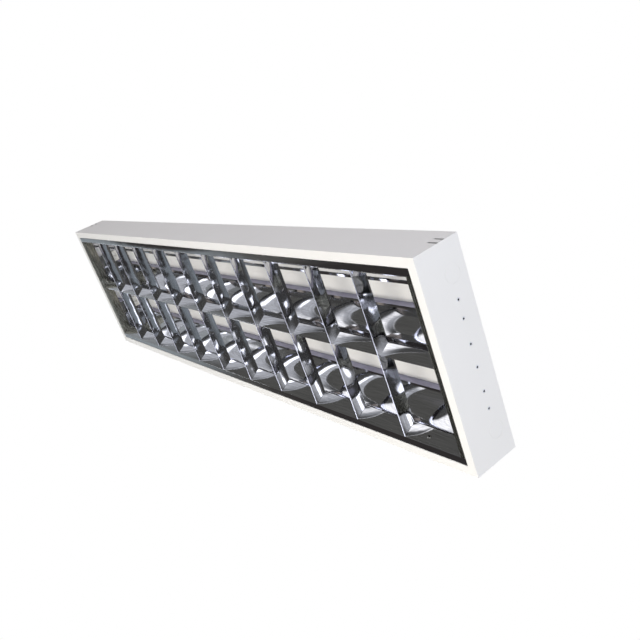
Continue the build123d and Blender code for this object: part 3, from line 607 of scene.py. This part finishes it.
@dataclass
class Rivets:
    """Blind rivets through the end caps, turned from one profile about an axis along X.

    The bore, where the rivet's stem broke off, takes its own near-black steel: the stem's steel
    with painted shade of the hole.
    """

    material: Material
    bore: Material
    cap_x: float = 623.5
    height: float = 48.5
    lamp_y: float = 65.0
    spacing: tuple[float, float, float] = (26.0, 33.0, 26.0)
    count: int = 20
    bore_margin: float = 0.02
    profile: tuple[tuple[float, float], ...] = (
        (0.0, -1.1), (1.35, -1.1), (1.4, 0.2), (1.6, 0.4), (2.1, 0.34), (2.5, 0.16), (2.7, 0.0),
        (1.6, 0.0), (1.6, -1.5), (2.2, -1.6), (2.3, -2.1), (1.9, -2.8), (0.0, -3.0),
    )

    def one(self, sign: int, y: float) -> tuple[np.ndarray, list]:
        """Make one rivet: profile point (r, x) is turned to r (cos a, sin a) at even angles a.

        Args:
            sign: -1 for the -X cap, 1 for the +X cap.
            y: Its place across the luminaire.

        Returns:
            Points and faces.
        """
        count, profile = self.count, np.array(self.profile)
        ring, k = profile[1:-1], np.arange(self.count)
        after = (k + 1) % count
        radius, angle = np.repeat(ring[:, 0], count), np.tile(k * 2 * np.pi / count, len(ring))
        x = sign * (self.cap_x + np.repeat(ring[:, 1], count))
        points = np.column_stack([
            x, y + radius * np.cos(angle), self.height + radius * np.sin(angle),
        ])
        ends = [[sign * (self.cap_x + profile[i, 1]), y, self.height] for i in (0, -1)]
        points = np.vstack([points, ends])
        last = (len(ring) - 1) * count
        faces = []
        for base in range(0, last, count):
            rows = (base + k, base + after, base + count + after, base + count + k)
            faces += np.stack(rows, axis=-1).tolist()
        first_pole, last_pole = len(points) - 2, len(points) - 1
        faces += [[int(j), int(i), first_pole] for i, j in zip(k, after)]
        faces += [[int(last + i), int(last + j), last_pole] for i, j in zip(k, after)]
        return points, faces if sign < 0 else [face[::-1] for face in faces]

    def build(self) -> None:
        """Make all twelve rivets."""
        middles = (-self.lamp_y, 0.0, self.lamp_y)
        places = [y + s * gap / 2 for y, gap in zip(middles, self.spacing) for s in (-1, 1)]
        mesh = joined(*(self.one(sign, y) for sign in (-1, 1) for y in places))
        piece = skin("end_rivets_turned", *mesh, self.material, "box")
        # painted shade: faces inside each bore take the near-black second material
        piece.data.materials.append(self.bore)
        limit = self.profile[1][0] + self.bore_margin
        for face in piece.data.polygons:
            off = min(abs(face.center.y / MM - y) for y in places)
            if off < limit and abs(face.center.x) / MM < self.cap_x:
                face.material_index = 1
        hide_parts("end_rivets")


@dataclass
class Louvre:
    """Drop-down grid: side and end rails, centre divider and cross blades, all of mirror sheet.

    A side rail's section is a path of (y, height), an end rail's and a blade's one of (x, height).
    The sheet is rolled along the luminaire or across it; end rails are semigloss with a painted
    olive reflection.
    """

    along: Material
    across: Material
    semigloss_with_painted_reflection: Material
    sheet: float = 0.4
    low: float = 0.3
    top: float = 21.5
    grid_y: float = 130.0
    grid_top_y: float = 116.5
    edge_y: float = 140.2
    wall_x: float = 600.5
    edge_x: float = 609.2
    fold: float = 5.0
    bend: float = 0.7
    wall_bow: float = 0.35
    wall_points: int = 22
    curl: float = 1.6
    station_reach: float = 590.0
    stations: int = 60
    end_stations: int = 41
    cells: int = 11
    blade_top: float = 4.0
    blade_nose: float = 0.9
    blade_bow: float = 0.7
    blade_points: int = 14
    nose_points: int = 13
    blade_stations: int = 25
    blade_sharp: float = 40.0
    divider_top: float = 13.5
    divider_fold: float = 10.0
    divider_low: float = 4.3
    divider_nose: float = 0.9
    divider_stations: int = 61
    tab: tuple[float, float] = (8.0, 12.0)
    tab_half: float = 1.0
    tab_reach: tuple[float, float] = (3.0, 1.6)
    fit: float = 0.1
    window: tuple[float, float, float] = (534.0, 3.0, 2.0)
    hinge: tuple[float, float, float] = (400.0, 8.0, 9.8)
    pin_inset: float = 0.3
    pin_height: float = 1.3
    pin_radii: tuple[float, float] = (1.0, 0.65)

    def blade_places(self) -> np.ndarray:
        """X of each blade, all cells being equal."""
        pitch = 2 * self.wall_x / self.cells
        return (np.arange(self.cells - 1) - (self.cells - 2) / 2) * pitch

    def wall_y(self, height: np.ndarray | float) -> np.ndarray | float:
        """Y of a side rail's flat wall at a height."""
        slant = self.grid_y - self.grid_top_y
        return self.grid_y - slant * (height - self.low) / (self.top - self.low)

    def openings(self, sign: int) -> list[tuple[float, float, float, float]]:
        """List the openings in a side rail's wall, each as two places along X and two heights.

        Args:
            sign: -1 for the hinge side, 1 for the catch side.

        Returns:
            The slots for the blades, and on the catch side also two windows for the catches.
        """
        slot, low, high = self.tab_half + self.fit, self.tab[0] - self.fit, self.tab[1] + self.fit
        made = [(x - slot, x + slot, low, high) for x in self.blade_places()]
        if sign > 0:
            x, half, rise = self.window
            middle = sum(self.tab) / 2
            made += [(s * x - half, s * x + half, middle - rise, middle + rise) for s in (-1, 1)]
        return made

    def rail_path(self, marks: list[float]) -> np.ndarray:
        """Path of a side rail: from its fold down the bowed wall and out to the flange's edge.

        Args:
            marks: Heights on the wall that need a point.

        Returns:
            The points.  Past the fold they are in the order of y - 2 * height, which grows.
        """
        top, foot = (self.grid_top_y, self.top), (self.grid_y, self.low)
        flange = [(self.edge_y - inset, self.low) for inset in (self.curl, self.pin_inset, 0.0)]
        corners = np.vstack([
            [(self.grid_top_y + self.fold, self.top)],
            bowed(top, foot, self.wall_bow, self.wall_points), flange,
        ])
        path = np.vstack([
            corners[:1], rounded(corners[:3], self.bend)[1:-1], corners[2:-5],
            rounded(corners[-6:-2], self.bend)[1:-1], corners[-3:],
        ])
        lifted = (path[:, 1] > self.low + 1) & (path[:, 1] < self.top - 1)
        extra = []
        for mark in marks:
            k = int(np.nonzero(lifted & (path[:, 1] >= mark))[0].max())
            share = (path[k, 1] - mark) / (path[k, 1] - path[k + 1, 1])
            extra.append(path[k] + (path[k + 1] - path[k]) * share)
        path = np.vstack([path, extra])
        on_fold = path[:, 1] > self.top - TOUCH
        fold, rest = path[on_fold], path[~on_fold]
        fold = fold[np.argsort(-fold[:, 0], kind="stable")]
        rest = rest[np.argsort(rest[:, 0] - 2.0 * rest[:, 1], kind="stable")]
        path = np.vstack([fold, rest])
        gaps = np.linalg.norm(np.diff(path, axis=0), axis=1)
        return path[np.concatenate([[True], gaps > SAME_POINT])]

    def rail_sheet(self, sign: int, path: np.ndarray, stations: np.ndarray,
                   openings: list) -> np.ndarray:
        """Tell which quads of a side rail's grid are sheet.

        Args:
            sign: -1 for the hinge side, 1 for the catch side.
            path: Section of the rail.
            stations: Places along X.
            openings: Openings in the wall.

        Returns:
            Truth of each quad: false in an opening, on the wall past the end rails, and on the
            flange's edge round a hinge pin.
        """
        x = (stations[:-1] + stations[1:])[:, None] / 2
        middle = (path[:-1] + path[1:])[None] / 2
        y, height = middle[..., 0], middle[..., 1]
        keep = (np.abs(x) < self.wall_x) | (y > self.grid_y - 0.01)
        for x0, x1, h0, h1 in openings:
            keep &= ~((x > x0) & (x < x1) & (height > h0) & (height < h1))
        if sign < 0:
            pin, eye, ear = self.hinge
            off = np.abs(np.abs(x) - pin)
            keep &= ~((off < ear) & (y > self.edge_y - self.pin_inset))
            keep &= ~((off < ear) & (off > eye) & (y > self.edge_y - self.curl))
        return keep

    def side_rail(self, name: str, sign: int) -> None:
        """Make one long rail: fold, slanted wall with its slots, flange, and eyes for hinge pins.

        Args:
            name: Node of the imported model.
            sign: -1 for the hinge side, 1 for the catch side.
        """
        openings = self.openings(sign)
        path = self.rail_path(list(dict.fromkeys(h for cut in openings for h in cut[2:])))
        rear = thickened(path, self.sheet)
        places = [-self.edge_x, -self.wall_x, self.wall_x, self.edge_x]
        places += np.linspace(-self.station_reach, self.station_reach, self.stations).tolist()
        places += [x for cut in openings for x in cut[:2]]
        tubes = []
        if sign < 0:
            pin, eye, ear = self.hinge
            places += [s * pin + t * r for s in (-1, 1) for t in (-1, 1) for r in (eye, ear)]
            y = -(self.edge_y - self.pin_inset)
            tubes = [tube(s * pin - eye, s * pin + eye, y, self.pin_height, self.pin_radii)
                     for s in (-1, 1)]
        stations = np.unique(np.round(places, 4))
        stations = stations[np.concatenate([[True], np.diff(stations) > SAME_STATION])]
        keep = self.rail_sheet(sign, path, stations, openings)
        front, back = along_x(path * (sign, 1), stations), along_x(rear * (sign, 1), stations)
        mesh = joined(shell(front, back, keep), *tubes)
        piece = skin(f"{name}_sheet", *mesh, self.along, "louvre")
        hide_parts(name)

    def end_rail(self, name: str, sign: int) -> None:
        """Make one short rail, its ends cut to the slant of the side rails.

        Args:
            name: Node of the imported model.
            sign: -1 for the -X end, 1 for the +X end.
        """
        corners = np.array([
            (self.wall_x + self.fold, self.top), (self.wall_x, self.top),
            (self.wall_x, self.low), (self.edge_x, self.low),
        ])
        path = rounded(corners, self.bend)
        rear = thickened(path, self.sheet)
        share = np.linspace(-1, 1, self.end_stations)
        grids = []
        for side in (path, rear):
            y = share[:, None] * self.wall_y(side[:, 1])[None]
            x = np.broadcast_to(sign * side[:, 0], y.shape)
            height = np.broadcast_to(side[:, 1], y.shape)
            grids.append(np.stack([x, y, height], axis=-1))
        # painted reflection: the olive-grey tone of the end rail's semigloss sheet
        piece = skin(f"{name}_sheet", *shell(*grids), self.semigloss_with_painted_reflection, "louvre")
        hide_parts(name)

    def divider(self) -> None:
        """Make the centre divider: a V with a round nose and two folds along its top."""
        nose = (0.0, self.divider_low - self.sheet)
        corners = np.array([
            (-self.divider_fold, self.top), (-self.divider_top, self.top), nose,
            (self.divider_top, self.top), (self.divider_fold, self.top),
        ])
        path = np.vstack([
            rounded(corners[:3], self.bend)[:-1],
            rounded(corners[1:4], self.divider_nose, 9)[1:-1],
            rounded(corners[2:], self.bend)[1:],
        ])
        stations = np.linspace(self.wall_x, -self.wall_x, self.divider_stations)
        front, back = along_x(path, stations), along_x(thickened(path, self.sheet), stations)
        piece = skin("louvre_divider_sheet", *shell(front, back), self.along, "louvre")
        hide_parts("louvre_divider")

    def blade_path(self) -> np.ndarray:
        """Section of a blade's outside, from its -X top round the nose to its +X top.

        Returns:
            The points.  At share t of the height over the nose's arc, the half width is
            nose + (top - nose) t less the bow 4 b t (1 - t), which is positive inwards.
        """
        nose, rise = self.blade_nose, self.top - self.low - self.blade_nose
        t = np.linspace(0, 1, self.blade_points)
        half = nose + (self.blade_top - nose) * t - 4 * self.blade_bow * t * (1 - t)
        side = np.column_stack([half, self.low + nose + rise * t])
        turn = np.linspace(-np.pi, 0, self.nose_points)[1:-1]
        arc = np.column_stack([nose * np.cos(turn), self.low + nose + nose * np.sin(turn)])
        return np.vstack([side[::-1] * (-1, 1), arc, side])

    def blade(self, number: int, x: float) -> None:
        """Make one cross blade: two halves, which meet below the divider, each with its tab.

        Args:
            number: Number of the blade from the -X end.
            x: Its place.
        """
        path = self.blade_path()
        rear, share = thickened(path, self.sheet), np.linspace(0, 1, self.blade_stations)[:, None]
        rise, y_tab = self.top - self.divider_low, self.wall_y(sum(self.tab) / 2)
        before, past = self.tab_reach
        parts = []
        for sign in (-1, 1):
            grids = []
            for side in (path, rear):
                height = side[:, 1]
                above = np.clip((height - self.divider_low + self.fit) / rise, 0, None)
                inner = above * self.divider_top
                inner = np.where(inner > 0, inner + self.fit, 0.0)
                outer = self.wall_y(height) - self.fit
                y = sign * (inner + (outer - inner) * share)
                wide = np.broadcast_to(x + side[:, 0], y.shape)
                grids.append(np.stack([wide, y, np.broadcast_to(height, y.shape)], axis=-1))
            parts.append(shell(*grids))
            reach = sorted((sign * (y_tab - before), sign * (y_tab + past)))
            parts.append(block((x - self.tab_half, x + self.tab_half), tuple(reach), self.tab))
        name = f"cross_blade_{number:02d}"
        piece = skin(f"{name}_sheet", *joined(*parts), self.across, "louvre", self.blade_sharp)
        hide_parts(name)

    def build(self) -> None:
        """Make the whole louvre."""
        self.side_rail("louvre_hinge_rail", -1)
        self.side_rail("louvre_catch_rail", 1)
        self.end_rail("louvre_end_rail_right", 1)
        self.end_rail("louvre_end_rail_left", -1)
        self.divider()
        for number, x in enumerate(self.blade_places(), start=1):
            self.blade(number, float(x))


@dataclass(frozen=True)
class Fittings:
    """Nodes that are drawn from their solids, grouped by finish."""

    ends: tuple[str, ...] = ("right_a", "right_b", "left_a", "left_b")

    def at_ends(self, stem: str) -> list[str]:
        """Names of a fitting that sits at each end of each lamp."""
        return [f"{stem}_{end}" for end in self.ends]

    def dress(self, material: Material, *names: str) -> None:
        """Give nodes one material.

        Args:
            material: The finish.
            names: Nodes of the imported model.
        """
        for name in names:
            mesh = bpy.data.objects[name].data
            mesh.materials.clear()
            mesh.materials.append(material)
            LOG.info("%s: %s", name, material.name)


# ---- studio
@dataclass(frozen=True)
class Window:
    """Soft round light on the dome, placed by its direction from the luminaire in degrees."""

    azimuth: float
    rise: float
    inside: float
    outside: float
    colour: str
    strength: float

    def over(self, tree: NodeTree, way: NodeSocket,
             tone: NodeSocket) -> NodeSocket:
        """Lay the window over what is behind it.

        Args:
            tree: Node tree of the dome.
            way: Direction from the luminaire, of length 1.
            tone: Colour behind the window.

        Returns:
            The colour: the window's own up to its inside angle, and none of it past its outside.
        """
        a, e = math.radians(self.azimuth), math.radians(self.rise)
        centre = (math.cos(e) * math.cos(a), math.cos(e) * math.sin(a), math.sin(e))
        near = add(tree, "ShaderNodeVectorMath", {0: way, 1: centre}, operation="DOT_PRODUCT")
        share = add(tree, "ShaderNodeMapRange", {
            "Value": near.outputs["Value"], "From Min": math.cos(math.radians(self.outside)),
            "From Max": math.cos(math.radians(self.inside)),
        }, interpolation_type="SMOOTHSTEP")
        glow = tuple(v * self.strength for v in linear(self.colour)[:3]) + (1.0,)
        return add(tree, "ShaderNodeMix", {
            "Factor": share.outputs["Result"], "A": tone, "B": glow,
        }, data_type="RGBA").outputs["Result"]


@dataclass(frozen=True)
class SoftLamp:
    """Round area lamp that lights the luminaire but isn't seen in its mirrors."""

    name: str
    place: tuple[float, float, float]
    size: float
    power: float
    colour: str

    def build(self) -> None:
        """Add the lamp, aimed at the origin and with its own X axis level."""
        data = bpy.data.lights.new(self.name, "AREA")
        data.shape = "DISK"
        data.size = self.size
        data.energy = self.power
        data.color = linear(self.colour)[:3]
        lamp = bpy.data.objects.new(self.name, data)
        bpy.context.scene.collection.objects.link(lamp)
        aim = -np.array(self.place)
        forward = aim / np.linalg.norm(aim)
        side = np.cross(forward, (0.0, 0.0, 1.0))
        side /= np.linalg.norm(side)
        top = np.cross(side, forward)
        turn = Matrix(np.column_stack([side, top, -forward]).tolist()).to_4x4()
        turn.translation = self.place
        lamp.matrix_world = turn
        lamp.visible_glossy = False


@dataclass
class Studio:
    """Camera, light and surroundings, in metres."""

    eye: tuple[float, float, float] = (1.2579, -0.4251, -0.5821)
    right: tuple[float, float, float] = (0.57322, 0.31656, 0.75579)
    down: tuple[float, float, float] = (0.11871, 0.88055, -0.45885)
    ahead: tuple[float, float, float] = (-0.81076, 0.35274, 0.46717)
    focal: float = 745.7
    film: float = 36.0
    even_light: float = 0.53
    floor_size: float = 30.0
    floor_level: float = -2.4
    floor_glow: float = 0.42
    room_radius: float = 6.0
    room_sides: int = 48
    room_rings: int = 24
    lamps: tuple[SoftLamp, ...] = (
        SoftLamp("key", (1.2, 0.4, -2.1), 1.6, 34.5, "#fffaf2"),
        SoftLamp("side", (2.6, -0.6, -0.3), 1.4, 18.5, "#e4ebff"),
        SoftLamp("fill", (0.2, -2.6, -0.2), 1.6, 18.0, "#fbf4fb"),
        SoftLamp("top", (-0.5, 0.7, 2.0), 1.8, 34.0, "#fffdfa"),
        SoftLamp("rear", (-2.2, 1.7, 0.35), 1.6, 22.0, "#f6f8ff"),
    )
    windows: tuple[Window, ...] = (
        Window(167.0, -13.0, 6.0, 15.0, "#949b9e", 1.0),
        Window(178.0, -3.0, 5.0, 12.0, "#d6dade", 1.5),
        Window(-166.0, -15.0, 4.0, 15.0, "#a2a6a8", 1.0),
        Window(-26.0, -28.0, 7.0, 17.0, "#cccdce", 1.2),
        Window(8.0, -54.0, 6.0, 16.0, "#aea398", 1.1),
        Window(-140.0, -36.0, 3.0, 8.0, "#9a98a0", 1.0),
        Window(-46.0, -27.0, 4.5, 9.0, "#fffdf9", 1.9),
        Window(36.0, -31.0, 7.0, 13.0, "#f0f2ff", 4.0),
        Window(90.0, -66.0, 10.0, 20.0, "#eaecff", 2.8),
        Window(-17.0, -22.0, 1.5, 4.5, "#fbfcff", 4.0),
        Window(-33.0, -36.0, 1.5, 4.5, "#fbfcff", 4.0),
        Window(-158.0, -22.0, 1.5, 4.0, "#fbfcff", 4.0),
        Window(-126.0, -10.0, 1.5, 4.5, "#fffdf8", 3.0),
        Window(4.0, -42.0, 1.5, 4.0, "#fffdf8", 3.0),
        Window(164.0, -9.0, 1.5, 4.5, "#f4f7ff", 3.5),
        Window(-174.0, -14.0, 2.0, 5.5, "#f4f7ff", 3.5),
        Window(150.0, -14.0, 2.0, 5.0, "#f4f7ff", 3.5),
        Window(146.0, -36.0, 9.0, 17.0, "#383534", 1.0),
        Window(172.0, -21.5, 3.2, 6.0, "#3c3938", 1.0),
    )

    def camera(self) -> None:
        """Place the camera that was worked out from the photograph's corners."""
        data = bpy.data.cameras.new("camera")
        data.sensor_width = self.film
        data.lens = self.focal * data.sensor_width / PICTURE
        data.clip_start = 0.01
        data.clip_end = 100.0
        camera = bpy.data.objects.new("camera", data)
        bpy.context.scene.collection.objects.link(camera)
        columns = np.array([self.right, [-v for v in self.down], [-v for v in self.ahead]], float).T
        left, _, turned = np.linalg.svd(columns)
        place = Matrix((left @ turned).tolist()).to_4x4()
        place.translation = self.eye
        camera.matrix_world = place
        bpy.context.scene.camera = camera

    def world(self) -> None:
        """White to the camera and in reflections, a softer even light on matt surfaces."""
        world = bpy.data.worlds.new("studio")
        bpy.context.scene.world = world
        world.use_nodes = True
        tree = world.node_tree
        tree.nodes.clear()
        path = add(tree, "ShaderNodeLightPath")
        seen = add(tree, "ShaderNodeMath", {
            0: path.outputs["Is Camera Ray"], 1: path.outputs["Is Glossy Ray"],
        }, operation="MAXIMUM")
        seen = add(tree, "ShaderNodeMath", {
            0: seen.outputs["Value"], 1: path.outputs["Is Transmission Ray"],
        }, operation="MAXIMUM")
        soft = add(tree, "ShaderNodeBackground", {
            "Color": linear("#ebecf2"), "Strength": self.even_light,
        })
        white = add(tree, "ShaderNodeBackground", {"Color": (1, 1, 1, 1), "Strength": 1.0})
        both = add(tree, "ShaderNodeMixShader", {
            0: seen.outputs["Value"], 1: soft.outputs["Background"],
            2: white.outputs["Background"],
        })
        add(tree, "ShaderNodeOutputWorld", {"Surface": both.outputs["Shader"]})

    def floor(self) -> None:
        """Plain pale floor well below the luminaire."""
        size, level = self.floor_size, self.floor_level
        mesh = bpy.data.meshes.new("floor")
        corners = [(x * size, y * size, level) for x, y in ((-1, -1), (1, -1), (1, 1), (-1, 1))]
        mesh.from_pydata(corners, [], [(0, 1, 2, 3)])
        material, tree = fresh_material("pale_floor")
        shader = add(tree, "ShaderNodeBsdfDiffuse", {"Color": linear("#f4f4f2")})
        path = add(tree, "ShaderNodeLightPath")
        pale = add(tree, "ShaderNodeMath", {
            0: path.outputs["Is Camera Ray"], 1: self.floor_glow,
        }, operation="MULTIPLY")
        glow = add(tree, "ShaderNodeEmission", {
            "Color": (1, 1, 1, 1), "Strength": pale.outputs["Value"],
        })
        both = add(tree, "ShaderNodeAddShader", {
            0: shader.outputs["BSDF"], 1: glow.outputs["Emission"],
        })
        add(tree, "ShaderNodeOutputMaterial", {"Surface": both.outputs["Shader"]})
        mesh.materials.append(material)
        floor = bpy.data.objects.new("floor", mesh)
        bpy.context.scene.collection.objects.link(floor)
        floor.visible_glossy = False

    def dome(self) -> Mesh:
        """Make the dome: a ball about the origin whose faces look inwards.

        Returns:
            The mesh, without a finish.
        """
        count, rings = self.room_sides, self.room_rings
        turn = np.linspace(0, 2 * np.pi, count, endpoint=False)
        rise = np.linspace(-np.pi / 2, np.pi / 2, rings + 1)
        turn, rise = np.meshgrid(turn, rise)
        points = self.room_radius * np.stack([
            np.cos(rise) * np.cos(turn), np.cos(rise) * np.sin(turn), np.sin(rise),
        ], axis=-1).reshape(-1, 3)
        ring, base = np.arange(count), np.arange(rings)[:, None] * count
        after = (ring + 1) % count
        faces = np.stack([
            base + ring, base + count + ring, base + count + after, base + after,
        ], axis=-1).reshape(-1, 4)
        mesh = bpy.data.meshes.new("dark_room")
        mesh.from_pydata(points.tolist(), [], faces.tolist())
        return mesh

    def room_material(self) -> Material:
        """Dark cloudy room with every window laid over it."""
        material, tree = fresh_material("dark_room")
        place = add(tree, "ShaderNodeTexCoord").outputs["Object"]
        way = add(tree, "ShaderNodeVectorMath", {0: place}, operation="NORMALIZE").outputs["Vector"]
        cloud = add(tree, "ShaderNodeTexNoise", {"Vector": way, "Scale": 3.0, "Detail": 2.0})
        tone = add(tree, "ShaderNodeMix", {
            "Factor": cloud.outputs["Fac"], "A": linear("#403e3b"), "B": linear("#696966"),
        }, data_type="RGBA").outputs["Result"]
        for window in self.windows:
            tone = window.over(tree, way, tone)
        shader = add(tree, "ShaderNodeEmission", {"Color": tone, "Strength": 1.0})
        add(tree, "ShaderNodeOutputMaterial", {"Surface": shader.outputs["Emission"]})
        return material

    def dark_room(self) -> None:
        """Dome of dark room and windows round the luminaire, which only reflections see."""
        mesh = self.dome()
        mesh.materials.append(self.room_material())
        room = bpy.data.objects.new("dark_room", mesh)
        bpy.context.scene.collection.objects.link(room)
        room.visible_camera = room.visible_diffuse = room.visible_shadow = False
        room.visible_transmission = room.visible_volume_scatter = False

    def build(self) -> None:
        """Put the studio round the luminaire."""
        self.camera()
        self.world()
        for lamp in self.lamps:
            lamp.build()
        self.floor()
        self.dark_room()


def main() -> None:
    """Dress the luminaire, put it in its studio and report each piece."""
    logging.basicConfig(level=logging.INFO, format="%(message)s")
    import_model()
    enamel = PaintedSteel().material()
    along = MirrorSheet("anodised_mirror_rolled_along", Grain.ALONG).material()
    across = MirrorSheet("anodised_mirror_rolled_across", Grain.ACROSS, wave=26.0,
                         wave_height=0.28).material()
    # painted reflection: the olive-grey tone of the end rails; their semigloss gloss is the finish
    semigloss_with_painted_reflection = MirrorSheet("semigloss_end_rail_painted_olive_reflection", Grain.ACROSS, "#a9a89c", "#94938a",
                        0.3).material()
    zinc = Plain("galvanised_steel", "#b9bcbf", "#9da1a6", 6.0, 0.42, metallic=1.0,
                 flecks=True).material()
    white = Plain("moulded_white_polycarbonate", "#f2f2ee", "#e9e9e4", 5.0, 0.38).material()
    rotor = Plain("moulded_grey_white_nylon", "#e3e4e2", "#d8d9d6", 3.0, 0.45).material()
    bronze = Plain("phosphor_bronze", "#b98552", "#a37343", 1.5, 0.3, metallic=1.0).material()
    spring = Plain("bright_spring_steel", "#f4f5f6", "#e8eaec", 1.5, 0.22, 0.9).material()
    ballast = Plain("lacquered_lamination_steel", "#d9dad7", "#c9cac6", 2.0, 0.5, 0.2).material()
    can = Plain("drawn_aluminium_can", "#c6c8ca", "#b4b6b9", 2.0, 0.35, metallic=1.0).material()
    rubber = Plain("black_rubber", "#232323", "#1a1a1a", 1.2, 0.7).material()
    wire = Plain("white_pvc_insulation", "#eeeae0", "#e4e0d4", 2.0, 0.45).material()
    # painted shade: darker lilac grey on the upright mirror lips beside the lamp slots, in place of
    # their mirror
    lip = Plain("mirror_lip_painted_shade", "#a9a8be", "#9896ad", 14.0, 0.4, 0.6).material()
    fittings = Fittings()
    fittings.dress(enamel, "housing", "end_cap_right", "end_cap_left")
    FixedMirrors(along, lip).build()
    Louvre(along, across, semigloss_with_painted_reflection).build()
    rivet = Plain("bright_aluminium_rivet", "#eceef1", "#e2e4e8", 2.0, 0.35, 0.25).material()
    # near black in the rivet bores: steel of the broken stem with painted shade of the hole
    bore_steel_and_shade = Plain("rivet_bore_steel_painted_shade", "#3a3a3c", "#2c2c2e", 0.6, 0.5, 0.4).material()
    Rivets(rivet, bore_steel_and_shade).build()
    fittings.dress(across, "mirror_end_plate_right", "mirror_end_plate_left")
    fittings.dress(white, *fittings.at_ends("lampholder"), "starter_holder_right",
                   "starter_holder_left", "terminal_block", "ballast_terminals",
                   "starter_right", "starter_left", "wire_clips")
    fittings.dress(rotor, *fittings.at_ends("lamp_rotor"))
    fittings.dress(zinc, *fittings.at_ends("lampholder_bracket"), "gear_tray", "mirror_screws",
                   "capacitor_clip", "earth_stud", "hinge_brackets", "hinge_pins")
    fittings.dress(bronze, "lamp_contacts", "terminal_screws")
    fittings.dress(spring, "louvre_catches")
    fittings.dress(ballast, "ballast_right", "ballast_left")
    fittings.dress(can, "capacitor")
    fittings.dress(rubber, "cable_grommet")
    fittings.dress(wire, "channel_wiring")
    Studio().build()
    bpy.context.scene.view_settings.view_transform = "Standard"


if __name__ == "__main__":
    main()
